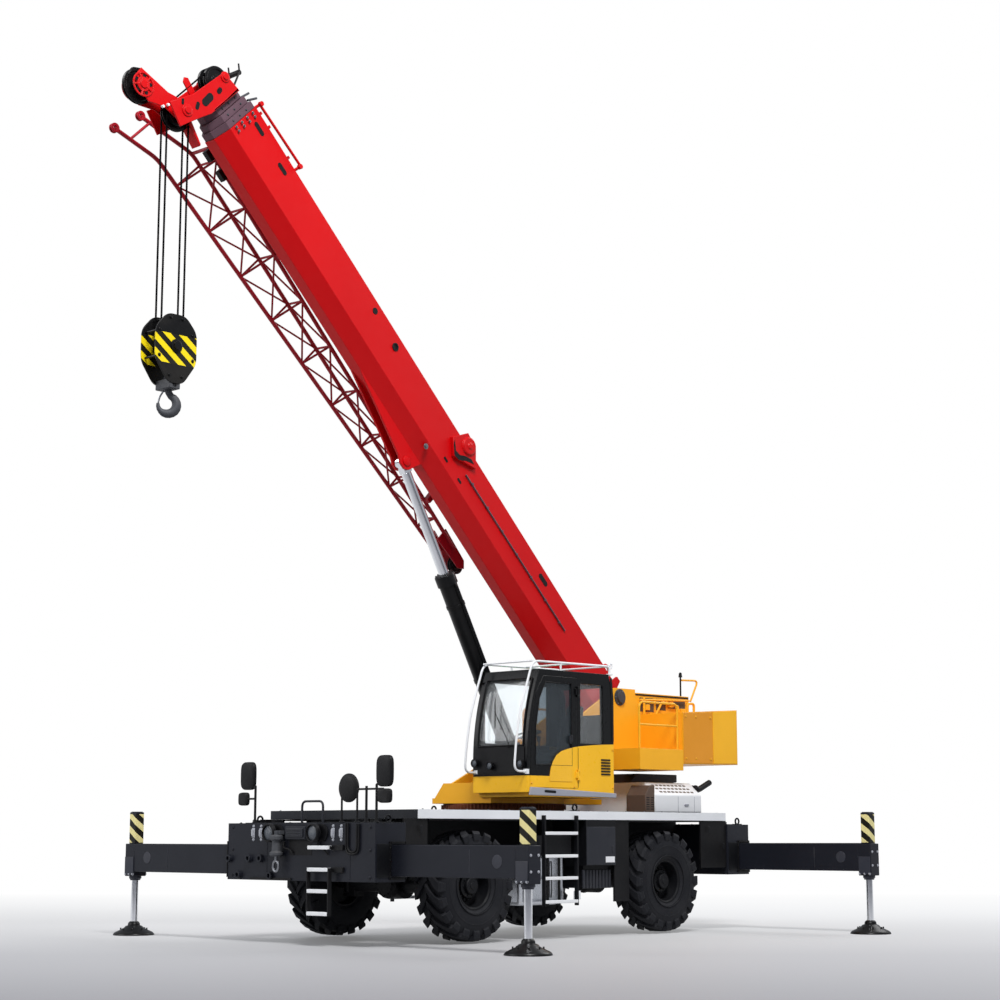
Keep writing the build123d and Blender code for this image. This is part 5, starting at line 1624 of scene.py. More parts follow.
@dataclass
class Superstructure:
    """Turntable, counterweight, winches, handrails and the wind gauge."""

    old_tray: Point = (-1.62, -0.95)
    tray: Point = (-0.8, -0.65)
    plate_x: float = 0.37
    drum_radius: float = 0.19
    flange_radius: float = 0.26
    drum_half: float = 0.3
    rope_radius: float = 0.0115
    tail_half: float = 1.25
    tail_rear: float = 4.22
    tray_top: float = 1.98
    bolt_ring: float = 0.56

    def shorter_tray(self, point: Vector) -> Vector:
        """Moves the front of the turntable's tray back to where it ends."""
        y = point.y - WHEELBASE_MIDDLE
        if y < self.old_tray[1] + 0.01:
            share = (y - self.old_tray[0]) / (self.old_tray[1] - self.old_tray[0])
            point.y = along(self.tray[0] + share * (self.tray[1] - self.tray[0]))
            point.x = max(-self.plate_x, min(self.plate_x, point.x)) if point.z > 1.99 else point.x
        return point

    def drum(self, node: str, body: str, name: str) -> None:
        """One winch drum with its flanges and a wound layer of rope.

        Args:
            node: The CAD node it stands for.
            body: The CAD body it moves with.
            name: Name of the piece.
        """
        middle = middle_of(node)
        turns = int(2 * (self.drum_half - 0.025) / (2 * self.rope_radius))
        profile = []
        for turn in range(turns):
            x = -self.drum_half + 0.025 + turn * 2 * self.rope_radius
            profile += [
                (x + self.rope_radius * a, self.drum_radius + self.rope_radius * b)
                for a, b in ((0.0, 0.15), (0.5, 0.85), (1.0, 1.0), (1.5, 0.85))
            ]
        wound = Shape().lathe(profile, middle, X_AXIS, 40)
        wound.piece(f"{name}_rope", Coats.rope, body)
        flanges = Shape()
        for side in SIGNS:
            at = middle + X_AXIS * side * (self.drum_half - 0.01)
            flanges.lathe([
                (-0.01, 0.062), (-0.01, self.flange_radius - 0.006), (-0.004, self.flange_radius),
                (0.004, self.flange_radius), (0.01, self.flange_radius - 0.006), (0.01, 0.062),
            ], at, X_AXIS * side, 48)
            flanges.bolts(circle(at + X_AXIS * side * 0.008, 0.12, 8), X_AXIS * side, 0.012, 0.01)
        flanges.piece(f"{name}_flanges", Coats.cast, body, replaces=[node])

    def plates(self) -> None:
        """Pins, stiffeners, bolts, hoses and the dark line on the winch housing, and brown plates that paint
        the shade inside its openings.
        """
        pins, marks, bolts, shade, clutter = Shape(), Shape(), Shape(), Shape(), Shape()
        for side, sheet in both_sides(self.plate_x):
            out = X_AXIS * side
            foot = Vector((side * self.plate_x, BOOM_FOOT.y, BOOM_FOOT.z))
            pins.lathe([(0, 0.13), (0.012, 0.13), (0.016, 0.09), (0.05, 0.085), (0.05, 0.0)], foot, out, 32)
            eye = spot(side * self.plate_x, *BARREL_FOOT)
            pins.lathe([(0, 0.11), (0.014, 0.11), (0.018, 0.07), (0.04, 0.066), (0.04, 0.0)], eye, out, 32)
            bolts.bolts(circle(foot + out * 0.01, 0.108, 6), out, 0.01, 0.012)
            for y, z in ((3.06, 3.07), (3.64, 3.07)):
                hub = spot(side * self.plate_x, y, z)
                pins.lathe([(0, 0.16), (0.02, 0.155), (0.06, 0.12), (0.09, 0.11), (0.09, 0.0)], hub, out, 36)
                bolts.bolts(circle(hub + out * 0.02, 0.14, 8), out, 0.01, 0.014)
            marks.plate(sheet, oblong(2.745, 4.09, 3.63, 3.655), 0.006)
            # Brown plates paint the shade inside the winch housing's openings.
            for u0, u1, v0, v1 in ((2.85, 3.2, 3.38, 3.6), (3.26, 3.5, 3.42, 3.6), (3.56, 4.0, 3.46, 3.6)):
                shade.plate(sheet, oblong(u0, u1, v0, v1), 0.004)
            for u0, v0, u1, v1, r in (
                (2.8, 3.56, 4.05, 3.6, 0.016), (2.9, 3.3, 2.9, 3.6, 0.02), (3.15, 3.28, 3.35, 3.55, 0.018),
                (3.35, 3.55, 3.75, 3.5, 0.018), (3.75, 3.5, 3.8, 3.3, 0.018), (3.5, 3.3, 4.0, 3.34, 0.016),
            ):
                clutter.rod(sheet.at(u0, v0, 0.05), sheet.at(u1, v1, 0.05), r, sides=12)
            for u, v in ((3.0, 3.45), (3.6, 3.52), (3.9, 3.42)):
                clutter.plate(sheet, oblong(u - 0.05, u + 0.05, v - 0.045, v + 0.045), 0.05)
            marks.plate(sheet, oval(1.4, 2.75, 0.16, 0.07, 62), 0.004)
            marks.plate(sheet, oval(0.9, 2.5, 0.1, 0.06, 62), 0.004)
        pins.piece("turntable_pins", Coats.cast, "superstructure")
        shade.piece("winch_housing_opening_shade", Coats.vent_brown_and_opening_shade, "superstructure")
        clutter.piece("winch_housing_pipes", Coats.body_yellow, "superstructure", bevel=0.004)
        marks.piece("turntable_marks", Coats.plastic, "superstructure")
        bolts.piece("turntable_bolts", Coats.steel, "superstructure")
        hoses = Shape()
        for k in range(4):
            x = -0.2 + 0.13 * k
            hoses.tube([
                spot(x, 0.95, 1.99), spot(x, 0.95, 2.3), spot(x * 1.3, 1.25, 2.5), spot(x * 1.2, 1.6, 2.3),
                spot(x * 1.2, 1.62, 1.99),
            ], 0.016, bend=0.14)
        hoses.piece("turntable_hoses", Coats.plastic, "superstructure")
        ring = circle(Vector((0, pivot("slew").y, self.tray_top)), self.bolt_ring, 36, X_AXIS, Y_AXIS)
        beside = [place for place in ring if abs(place.x) > self.bolt_ring * 0.72]
        Shape().bolts(beside, Z_AXIS, 0.014, 0.02).piece("slew_ring_bolts", Coats.cast, "superstructure")

    def tail(self) -> None:
        """Bright end panels, orange front panels that paint the shade on the front part of the
        counterweight's sides, seams, lamps and a grille on the counterweight.
        """
        bright, orange, seams, bolts = Shape(), Shape(), Shape(), Shape()
        for side, sheet in both_sides(self.tail_half):
            bright.plate(sheet, ((3.587, 2.553), (4.205, 2.565), (4.205, 3.41), (3.587, 3.365)), 0.008)
            # Orange plates paint the shade on the front part of each side.
            orange.plate(sheet, ((2.845, 2.545), (3.575, 2.555), (3.575, 3.36), (2.845, 3.32)), 0.005)
            bolts.bolts([
                sheet.at(u, v, 0.005) for u in (2.9, 3.15, 3.52) for v in (2.62, 3.27)
            ], X_AXIS * side, 0.014, 0.012)
            bolts.lathe([
                (0, 0.055), (0.03, 0.05), (0.05, 0.03), (0.05, 0.0),
            ], spot(side * 0.9, self.tail_rear, 3.25), Y_AXIS, 24)
        bright.piece("tail_end_panels", Coats.tail_bright, "superstructure", bevel=0.006)
        orange.piece("tail_front_painted_shade", Coats.tail_painted_shade, "superstructure", bevel=0.004)
        rear = Sheet(spot(0, self.tail_rear, 0), -X_AXIS, Z_AXIS)
        for x in (-0.5, 0.5):
            seams.plate(rear, oblong(x - 0.005, x + 0.005, 2.57, 3.4), 0.004)
        for row in range(9):
            seams.plate(rear, oblong(-0.3, 0.3, 2.75 + row * 0.05, 2.77 + row * 0.05), 0.006)
        seams.piece("tail_seams", Coats.plastic, "superstructure")
        bolts.piece("tail_bolts", Coats.body_yellow, "superstructure")
        lifting = Shape()
        for x in (-0.9, 0.9):
            lifting.tube([
                spot(x, 3.4, 3.36), spot(x, 3.4, 3.5), spot(x, 3.56, 3.51), spot(x, 3.56, 3.37),
            ], 0.02, bend=0.05)
        lifting.piece("tail_lifting_loops", Coats.body_yellow, "superstructure")
        gauge = Shape().rod(spot(0.35, 3.92, 3.66), spot(0.35, 3.92, 4.058), 0.014)
        gauge.rod(spot(0.35, 3.92, 3.98), spot(0.35, 3.92, 4.05), 0.032, 0.022)
        gauge.piece("wind_gauge_post", Coats.plastic, "superstructure")
        arm = Shape().tube(
            [spot(0.35, 3.943, 3.933), spot(0.35, 4.38, 3.948), spot(0.35, 4.174, 3.599)], 0.016, bend=0.1,
        )
        arm.piece("wind_gauge_arm", Coats.body_yellow, "superstructure")

    def build(self) -> None:
        """Fits the turntable, dresses the rest and adds the small parts."""
        reshaped("turntable", "turntable_body", Coats.body_yellow, "superstructure", self.shorter_tray)
        dress_node("counterweight", Coats.tail_yellow)
        dress_node("superstructure_handrails", Coats.body_yellow)
        self.drum("main_winch_drum", "main_drum", "main_winch")
        self.drum("auxiliary_winch_drum", "auxiliary_drum", "auxiliary_winch")
        self.plates()
        self.tail()


@dataclass
class Cab:
    """Operator's cab with its door, panes, guard bars, seat and controls."""

    inner_shift: float = 0.175
    inner_x: float = 0.385
    outer_x: float = 1.45
    guard_x: Point = (0.45, 1.42)
    guard_route: tuple[Point, ...] = (
        (-0.93, 2.33), (-1.19, 2.33), (-1.15, 2.72), (-1.075, 3.14), (-0.94, 3.52), (-0.8, 3.9),
        (0.88, 3.915), (0.88, 3.77),
    )
    seat_y: float = 0.32
    floor_z: float = 2.1

    def wider(self, point: Vector) -> Vector:
        """Moves the cab's inner side out to the boom's side plate."""
        if point.x < 0.95:
            point.x -= self.inner_shift
        return point

    def outside(self) -> None:
        """Sill, louvres, seams, lamps, rails and the lower front panel."""
        side = side_sheet(self.outer_x)
        front = front_sheet(along(-0.95))
        sill = Shape().plate(
            side, [(-0.93, 2.0), (-0.901, 2.115), (0.953, 2.049), (0.953, 1.985), (0.9, 1.985)], 0.03,
        )
        sill.piece("cab_sill", Coats.sill_grey, "superstructure", bevel=0.008)
        dark = Shape()
        dark.plate(side.moved(0.03), oval(-0.5, 2.055, 0.123, 0.018, -2), 0.003)
        for row in range(6):
            z = 2.31 + row * 0.042
            dark.plate(side, [(0.641, z), (0.844, z), (0.844, z + 0.022), (0.641, z + 0.022)], 0.01)
        dark.plate(side, oblong(0.134, 0.141, 2.12, 2.691), 0.003)
        dark.plate(
            side, [(0.9, 3.74), (0.93, 3.45), (0.93, 2.8), (0.88, 2.8), (0.88, 3.45), (0.85, 3.74)], 0.006,
        )
        dark.plate(front, oblong(0.44, 1.4, 2.315, 2.68), 0.012)
        dark.plate(front, oblong(0.42, 1.42, 2.29, 2.31), 0.016)
        dark.piece("cab_dark_trim", Coats.plastic, "superstructure", bevel=0.003)
        lamps, lenses = Shape(), Shape()
        for x, z in ((0.47, 2.463), (0.77, 2.42), (1.36, 2.439)):
            lamps.lathe([
                (0, 0.03), (0.03, 0.055), (0.075, 0.06), (0.075, 0.052), (0.05, 0.045), (0.04, 0.0),
            ], front.at(x, z), front.normal, 28)
            lenses.lathe([(0.06, 0.051), (0.07, 0.035), (0.073, 0.0)], front.at(x, z), front.normal, 24)
        lamps.piece("cab_lamp_bowls", Coats.plastic, "superstructure")
        lenses.piece("cab_lamp_lenses", Coats.lens, "superstructure")
        bolts = Shape().bolts([
            side.at(u, v) for u, v in ((-0.86, 2.17), (0.05, 2.13), (0.9, 2.13), (0.9, 2.68))
        ], X_AXIS, 0.012, 0.01)
        bolts.piece("cab_bolts", Coats.body_yellow, "superstructure")
        frames = Shape()
        for x in (self.inner_x + 0.1, 1.37):
            frames.tube([
                spot(x, y, z)
                for y, z in ((-0.957, 2.7), (-0.93, 3.0), (-0.87, 3.3), (-0.79, 3.58), (-0.755, 3.66))
            ], 0.011, bend=0.1)
        for y, z in ((-0.957, 2.7), (-0.757, 3.66)):
            frames.tube([spot(self.inner_x + 0.1, y, z), spot(1.37, y, z)], 0.011)
        frames.tube(
            [spot(1.1, -0.975, 2.66), spot(1.12, -0.985, 2.74), spot(0.8, -0.94, 3.2)], 0.007, bend=0.03,
        )
        frames.rod(spot(0.83, -0.958, 2.95), spot(0.76, -0.88, 3.4), 0.008, sides=8)
        frames.piece("windscreen_trim", Coats.plastic, "superstructure")

    def guard(self) -> None:
        """Bent guard bars in front of the screen and over the roof, with cross bars and an eye."""
        bars = Shape()
        for x in self.guard_x:
            bars.tube([spot(x, y, z) for y, z in self.guard_route], 0.016, bend=0.12, sides=14)
            bars.rod(spot(x, -0.2, 3.915), spot(x, -0.2, 3.78), 0.015)
            for y, z in ((-0.94, 2.33), (0.88, 3.792)):
                bars.block((x, along(y), z), (0.07, 0.05 if z < 3 else 0.07, 0.07 if z < 3 else 0.02))
        for y, z in ((-0.8, 3.9), (0.1, 3.912), (0.87, 3.914)):
            bars.rod(spot(self.guard_x[0], y, z), spot(self.guard_x[1], y, z), 0.014)
        bars.tube([
            spot(1.42, 0.92, 3.88), spot(1.42, 0.94, 3.95), spot(1.42, 0.9, 3.96), spot(1.42, 0.88, 3.91),
        ], 0.012, bend=0.02)
        bars.piece("cab_guard", Coats.white, "superstructure", replaces=["cab_guard_bars"])

    def door(self) -> None:
        """Handle, rubber frame and the yellow corner on the sliding door."""
        side = side_sheet(self.outer_x)
        handle = Shape().plate(side, oval(-0.03, 2.8, 0.06, 0.025, 90), 0.01)
        handle.tube([
            side.at(-0.03, 2.77, 0.008), side.at(-0.03, 2.77, 0.035), side.at(-0.03, 2.86, 0.035),
            side.at(-0.03, 2.86, 0.008),
        ], 0.009, bend=0.015)
        handle.piece("door_handle", Coats.panel_grey, "cab_door")
        rubber = Shape().tube([
            side.at(u, v, -0.002)
            for u, v in (
                (0.0, 2.43), (0.0, 3.61), (-0.565, 3.61), (-0.69, 3.38), (-0.77, 2.96), (-0.78, 2.43),
                (0.0, 2.43),
            )
        ], 0.009)
        rubber.piece("door_rubber", Coats.plastic, "cab_door")
        corner = Shape().plate(
            side,
            [
                (-0.483, 2.2), (-0.483, 2.274), (-0.45, 2.4), (-0.411, 2.486), (-0.339, 2.57),
                (-0.232, 2.633), (-0.1, 2.668), (0.0, 2.686), (0.0, 2.44), (0.0, 2.2),
            ],
            0.006,
        )
        corner.piece("door_yellow_corner", Coats.yellow_plain, "cab_door", bevel=0.002)

    def seat(self) -> None:
        """Sprung seat with padded cushions, arm rests, levers and a head rest."""
        x = (self.inner_x + self.outer_x) / 2 + 0.06
        at = spot(x, self.seat_y, self.floor_z)
        base = Shape().block(at + Vector((0, 0, 0.04)), (0.4, 0.42, 0.08))
        for k in range(4):
            base.block(
                at + Vector((0, 0, 0.11 + 0.06 * k)), (0.3 - 0.02 * (k % 2), 0.34 - 0.02 * (k % 2), 0.055),
            )
        base.block(at + Vector((0, 0.02, 0.36)), (0.42, 0.46, 0.04))
        for side in SIGNS:
            base.block(at + Vector((side * 0.3, 0.0, 0.5)), (0.1, 0.5, 0.18))
            base.rod(at + Vector((side * 0.3, -0.16, 0.58)), at + Vector((side * 0.3, -0.18, 0.72)), 0.012)
            base.rod(
                at + Vector((side * 0.3, -0.18, 0.7)), at + Vector((side * 0.3, -0.19, 0.79)), 0.024, 0.03,
            )
        base.piece("seat_base", Coats.plastic, "superstructure", bevel=0.012, replaces=["operator_seat"])
        lean = Matrix.Rotation(math.radians(-9), 3, "X")
        cushions = Shape().block(at + Vector((0, -0.02, 0.45)), (0.48, 0.5, 0.13))
        cushions.block(at + Vector((0, 0.24, 0.78)), (0.46, 0.12, 0.58), lean)
        for side in SIGNS:
            cushions.block(at + Vector((side * 0.2, 0.19, 0.72)), (0.07, 0.1, 0.4), lean)
            cushions.block(at + Vector((side * 0.21, -0.02, 0.515)), (0.06, 0.46, 0.06))
        cushions.block(at + Vector((0, 0.28, 1.13)), (0.28, 0.1, 0.2), lean)
        pads = cushions.piece("seat_cushions", Coats.trim, "superstructure", bevel=0.035, smooth=60)

    def inside(self) -> None:
        """Console, screens, steering column, headliner, floor mat and pedals."""
        inner = Shape()
        middle = (self.inner_x + self.outer_x) / 2
        inner.block((middle, along(-0.72), 2.45), (0.72, 0.2, 0.5))
        inner.block(
            (middle - 0.22, along(-0.66), 2.85), (0.24, 0.05, 0.2),
            Matrix.Rotation(math.radians(-12), 3, "X"),
        )
        inner.block((self.inner_x + 0.13, along(0.1), 2.45), (0.1, 0.8, 0.6))
        inner.block((middle, along(0.02), 3.715), (0.9, 1.2, 0.02))
        inner.block((middle, along(0.82), 2.75), (0.9, 0.03, 0.9))
        inner.block((middle, along(0.0), 2.107), (0.86, 1.6, 0.012))
        inner.rod(spot(middle + 0.05, -0.6, 2.3), spot(middle + 0.05, -0.42, 2.86), 0.03)
        wheel = spot(middle + 0.05, -0.42, 2.88)
        tilt = Matrix.Rotation(math.radians(18), 3, "X")
        inner.tube(circle(wheel, 0.19, 28, tilt @ X_AXIS, tilt @ Y_AXIS), 0.014, closed=True)
        for a in (0.5, 2.6, 4.7):
            inner.rod(wheel, wheel + tilt @ Vector((math.cos(a), math.sin(a), 0)) * 0.19, 0.012, sides=8)
        for x in (-0.12, 0.12):
            inner.block(
                (middle + x, along(-0.55), 2.17), (0.09, 0.16, 0.02),
                Matrix.Rotation(math.radians(28), 3, "X"),
            )
        inner.piece("cab_interior", Coats.trim, "superstructure", bevel=0.01)

    def build(self) -> None:
        """Fits the cab's shell and panes, dresses its door and adds the small parts."""
        reshaped("cab_shell", "cab_body", Coats.cab_yellow, "superstructure", self.wider)
        reshaped("cab_glass", "cab_panes", Coats.clear, "superstructure", self.wider)
        dress_node("cab_door", Coats.cab_yellow)
        # The grey tint of the door glass paints the shade of the cab's inside.
        dress_node("cab_door_glass", Coats.door_glass_shade)
        roof = Shape().block(((self.inner_x + self.outer_x) / 2, along(-0.07), 3.775), (0.86, 0.96, 0.006))
        roof.piece("cab_roof_pane", Coats.green, "superstructure")
        self.outside()
        self.guard()
        self.door()
        self.seat()
        self.inside()


# ---- boom ----------------------------------------------------------------------------------------
def boom_place(x: float, s: float, n: float) -> Vector:
    """Point beside the boom at station s and height n."""
    return BOOM_FOOT + X_AXIS * x + BOOM_RUN * s + BOOM_UP * n


@dataclass(frozen=True)
class Sheave:
    """A grooved rope wheel on the boom's head or in the hook block."""

    x: float
    s: float
    n: float
    radius: float
    thickness: float = 0.05
    bore: float = 0.042

    def profile(self) -> list[Point]:
        """Its closed cross-section as (place along the shaft, radius) rows."""
        t, r = self.thickness / 2, self.radius
        return [
            (-t, r), (-t + 0.007, r), (-0.008, r - 0.022), (0.008, r - 0.022), (t - 0.007, r), (t, r),
            (t, r - 0.035), (0.011, r - 0.05), (0.011, 0.085), (t, 0.075), (t, self.bore), (-t, self.bore),
            (-t, 0.075), (-0.011, 0.085), (-0.011, r - 0.05), (-t, r - 0.035),
        ]

    def add(self, shape: Shape, centre: Vector | None = None) -> None:
        """Turns the sheave into a shape, around its place on the boom or another centre."""
        shape.lathe(
            self.profile(), boom_place(self.x, self.s, self.n) if centre is None else centre, X_AXIS, 56,
            closed=True,
        )


@dataclass
class Boom:
    """Telescopic boom, its head, the jib stowed beside it and the lift cylinder."""

    half: float = 0.26
    head_rear: float = 11.075
    head_plate: float = 0.025
    lower: Point = (11.319, -0.908)
    upper: Point = (11.331, -0.02)
    nose: Point = (11.918, -1.183)
    roller: Point = (11.222, 0.391)
    arm_x: float = 0.105
    eye: Point = (5.39, -0.843)
    gland: float = 3.12
    reel: tuple[Point, ...] = (
        (5.179, -0.02), (4.962, -0.205), (4.536, 0.025), (4.762, 0.249), (5.025, 0.281),
    )
    jib_chords: dict[str, tuple[tuple[float, float, float], ...]] = field(
        default_factory=lambda: {
            "low": ((-0.75, 11.551, -1.298), (-0.75, 10.86, -0.967), (-0.62, 3.6, -0.72)),
            "high": ((-0.75, 11.453, -0.804), (-0.75, 10.6, -0.392), (-0.62, 3.6, -0.56)),
            "inner": ((-0.36, 10.6, -0.41), (-0.36, 3.6, -0.6)),
        }
    )
    jib_run: Point = (10.6, 3.6)
    jib_panels: int = 9

    def sheaves(self) -> list[Sheave]:
        """Every rope wheel on the head."""
        wheels = [Sheave(x, *self.lower, 0.165) for x in (-0.06, 0.06)]
        wheels.append(Sheave(0.0, *self.lower, 0.23, 0.045))
        wheels += [Sheave(x, *self.upper, 0.2) for x in (-0.06, 0.06)]
        return wheels + [Sheave(0.0, *self.nose, 0.24)]

    def head(self) -> None:
        """Cheeks, nose arms, end plate, shafts, guard roller and grooved sheaves."""
        (ls, ln), (us, un), (ns, nn) = self.lower, self.upper, self.nose
        body = Shape()
        body.plate(
            boom_across(self.head_rear - 0.005),
            [
                (-self.half, 0.07), (-self.half, -0.5), (-0.12, -0.575), (0.12, -0.575), (self.half, -0.5),
                (self.half, 0.07),
            ],
            self.head_plate,
        )
        cheek = [
            (self.head_rear - 0.005, 0.07), (us + 0.054, un + 0.04), (ls + 0.113, ln + 0.241),
            (ls + 0.234, ln - 0.17), (ls - 0.105, ln - 0.248), (self.head_rear + 0.038, ln + 0.189),
            (self.head_rear - 0.005, -0.57),
        ]
        arm = [
            (ls - 0.19, ln + 0.13), (ls + 0.19, ln + 0.1), (ns - 0.285, nn + 0.29), (ns + 0.185, nn + 0.132),
            (ns + 0.15, nn - 0.06), (ns - 0.213, nn - 0.081), (ls + 0.199, ln - 0.173),
            (ls - 0.117, ln - 0.085),
        ]
        for side in SIGNS:
            body.plate(
                boom_sheet(side * self.half + (0 if side > 0 else self.head_plate)), cheek, self.head_plate,
            )
            body.plate(boom_sheet(side * self.arm_x + 0.01), arm, 0.02)
        body.piece("head_body", Coats.boom_red, "boom_4", bevel=0.006, replaces=["boom_head"])
        bosses = Shape()
        for side in SIGNS:
            for (s, n), x, radius in (
                (self.lower, self.half, 0.085), (self.upper, self.half, 0.075),
                (self.nose, self.arm_x + 0.01, 0.1),
            ):
                start = boom_place(side * x, s, n)
                bosses.lathe([
                    (0, radius), (0.012, radius), (0.016, radius * 0.6), (0.03, radius * 0.55), (0.03, 0.0),
                ], start, X_AXIS * side, 32)
        for side in SIGNS:
            rim = boom_place(side * (self.arm_x + 0.012), *self.nose)
            bosses.lathe(
                [(0, 0.17), (0.01, 0.17), (0.01, 0.145), (0, 0.145)], rim, X_AXIS * side, 40, closed=True,
            )
            for way in circle(Vector(), 1.0, 5, BOOM_RUN, BOOM_UP, 0.3):
                bosses.rod(rim + way * 0.05, rim + way * 0.16, 0.016, sides=8)
        bosses.piece("head_bosses", Coats.boom_red, "boom_4")
        shafts = Shape()
        for (s, n), reach in ((self.lower, self.half), (self.upper, self.half), (self.nose, self.arm_x)):
            shafts.rod(boom_place(-reach, s, n), boom_place(reach, s, n), 0.041, sides=24)
        for x, s0, n0, s1, n1, r in (
            (0.0, 11.069, -0.007, 11.025, 0.271, 0.02), (0.12, 10.956, 0.106, 10.922, 0.322, 0.016),
            (0.2, 10.878, 0.157, 10.817, 0.322, 0.016),
        ):
            shafts.rod(boom_place(x, s0, n0), boom_place(x, s1, n1), r)
        shafts.piece("head_shafts", Coats.cast, "boom_4")
        wheels = Shape()
        for sheave in self.sheaves():
            sheave.add(wheels)
        wheels.piece("head_grooved_sheaves", Coats.black, "boom_4", replaces=["head_sheaves"])
        dark = Shape()
        cheek_out = boom_sheet(self.half)
        for side in SIGNS:
            for a in angles(5, 0.93):
                s, n = self.nose[0] + math.cos(a) * 0.105, self.nose[1] + math.sin(a) * 0.105
                dark.plate(
                    boom_sheet(side * (self.arm_x + 0.01)), oval(s, n, 0.04, 0.028, math.degrees(a)),
                    -side * 0.003,
                )
        for s, n, long, wide, turn in (
            (11.275, -0.711, 0.06, 0.03, 60), (11.239, -0.235, 0.055, 0.035, 80),
            (11.445, -0.89, 0.045, 0.02, 50), (11.25, -0.5, 0.12, 0.055, 85),
        ):
            dark.plate(cheek_out, oval(s, n, long, wide, turn), -0.003)
        dark.rod(boom_place(-0.11, *self.roller), boom_place(0.11, *self.roller), 0.038, sides=24)
        for side in SIGNS:
            dark.rod(
                boom_place(side * 0.11, self.head_rear, 0.04), boom_place(side * 0.11, *self.roller), 0.014,
            )
            dark.rod(
                boom_place(side * 0.11, *self.roller),
                boom_place(side * 0.11, self.roller[0] + 0.096, self.roller[1] + 0.07), 0.012,
            )
        dark.tube([
            boom_place(0.09, 12.135, -1.281), boom_place(0.09, 12.17, -1.17),
            boom_place(0.09, 12.092, -1.066),
        ], 0.014, bend=0.04)
        dark.piece("head_dark_parts", Coats.plastic, "boom_4")
        rope = Shape()
        start = boom_place(0.06, self.upper[0] + 0.17, self.upper[1] - 0.09)
        rope.tube([start, boom_place(0.06, 11.5, -0.35), boom_place(0.06, 11.5, -0.8)], 0.012, bend=0.1)
        rope.tube([
            boom_place(0.0, 11.12, 0.19), boom_place(0.0, 11.331, 0.19), boom_place(0.0, 11.45, 0.15),
        ], 0.012, bend=0.1)
        rope.piece("head_rope", Coats.rope, "boom_4")
        lug = Shape().plate(
            boom_sheet(0.07), [(11.38, -0.56), (11.4, -0.45), (11.6, -0.42), (11.64, -0.47), (11.6, -0.53)],
            0.02,
        )
        lug.plate(
            boom_sheet(0.09), [(11.128, -0.861), (10.804, -0.907), (10.82, -0.88), (11.13, -0.8)], 0.18,
        )
        lug.piece("head_lug", Coats.boom_red, "boom_4", bevel=0.004)
        pins = Shape()
        for s, n in ((11.536, -1.119), (11.51, -1.03)):
            pins.rod(boom_place(0.115, s, n), boom_place(0.15, s, n), 0.02, sides=16)
        pins.piece("head_white_pins", Coats.white, "boom_4")

    def base_details(self) -> None:
        """Slots, reel, hose line, lugs, guard rod and wear pads on the base section."""
        left = boom_sheet(self.half)
        dark = Shape()
        for s, n, long, wide in (
            (10.489, 0.008, 0.11, 0.035), (9.858, -0.024, 0.1, 0.035), (2.383, 0.041, 0.12, 0.04),
        ):
            dark.plate(left, oval(s, n, long, wide), -0.004)
        dark.plate(left, oval(7.411, 0.043, 0.05, 0.049), -0.004)
        dark.lathe([
            (0, 0.06), (0.012, 0.06), (0.012, 0.042), (0.002, 0.04), (0.002, 0.0),
        ], boom_place(self.half, 6.804, 0.002), X_AXIS, 28)
        for s in (5.0, 4.6):
            dark.plate(left, oval(s, -0.33, 0.05, 0.02), -0.004)
        curve = [
            (5.13, -0.02), (5.0, -0.12), (4.9, -0.1), (4.82, -0.02), (4.7, 0.05), (4.62, 0.04),
            (4.75, -0.05), (4.86, -0.17), (4.97, -0.19), (5.1, -0.08),
        ]
        dark.plate(boom_sheet(self.half + 0.06), curve, -0.004)
        dark.piece("boom_slots", Coats.plastic, "boom_base")
        cover = Shape().plate(left, self.reel, -0.06)
        cover.lathe([
            (0, 0.14), (0.02, 0.135), (0.035, 0.12), (0.035, 0.05), (0.05, 0.045), (0.05, 0.0),
        ], boom_place(self.half + 0.06, 4.88, 0.139), X_AXIS, 40)
        cover.piece("boom_reel", Coats.boom_red, "boom_base", bevel=0.008)
        lugs = Shape().tube([
            boom_place(0.2, s, n) for s, n in ((0.3, 0.15), (0.34, 0.27), (0.46, 0.28), (0.5, 0.15))
        ], 0.022, bend=0.05)
        lugs.plate(boom_sheet(0.22), [(0.02, 0.16), (0.05, 0.33), (0.15, 0.33), (0.2, 0.16)], 0.04)
        for s in (10.4, 9.9, 10.62):
            lugs.plate(
                boom_sheet(0.2), [(s - 0.03, 0.16), (s - 0.02, 0.27), (s + 0.02, 0.27), (s + 0.03, 0.16)],
                0.02,
            )
        for s in (1.1, 3.4, 6.2, 8.6):
            lugs.plate(
                boom_across(s),
                [
                    (-self.half, 0.175), (-self.half, -0.43), (-self.half - 0.008, -0.43),
                    (-self.half - 0.008, 0.175),
                ],
                0.05,
            )
        lugs.piece("boom_lugs", Coats.boom_red, "boom_base", bevel=0.004)
        hose = Shape().tube([
            boom_place(self.half + 0.018, 4.587, -0.169), boom_place(self.half + 0.018, 3.2, -0.16),
            boom_place(self.half + 0.018, 1.517, -0.151),
        ], 0.012, sides=8)
        for k in range(7):
            hose.block(boom_place(self.half + 0.014, 1.7 + 0.45 * k, -0.155), (0.03, 0.035, 0.035))
        hose.piece("boom_hose_line", Coats.collar_grey, "boom_base")
        guard = Shape().tube([boom_place(0.29, 10.756, 0.23), boom_place(0.29, 9.695, 0.27)], 0.02)
        for s in (10.74, 9.72):
            guard.rod(boom_place(0.22, s, 0.16), boom_place(0.29, s, 0.25), 0.022)
            guard.rod(boom_place(0.27, s, 0.25), boom_place(0.32, s, 0.25), 0.035)
        guard.piece("boom_guard_rod", Coats.boom_red, "boom_base")
        bolts = Shape()
        for n in (0.05, -0.08, -0.21, -0.34):
            bolts.bolts([boom_place(self.half + 0.02, s, n) for s in (10.66, 10.72)], X_AXIS, 0.014, 0.014)
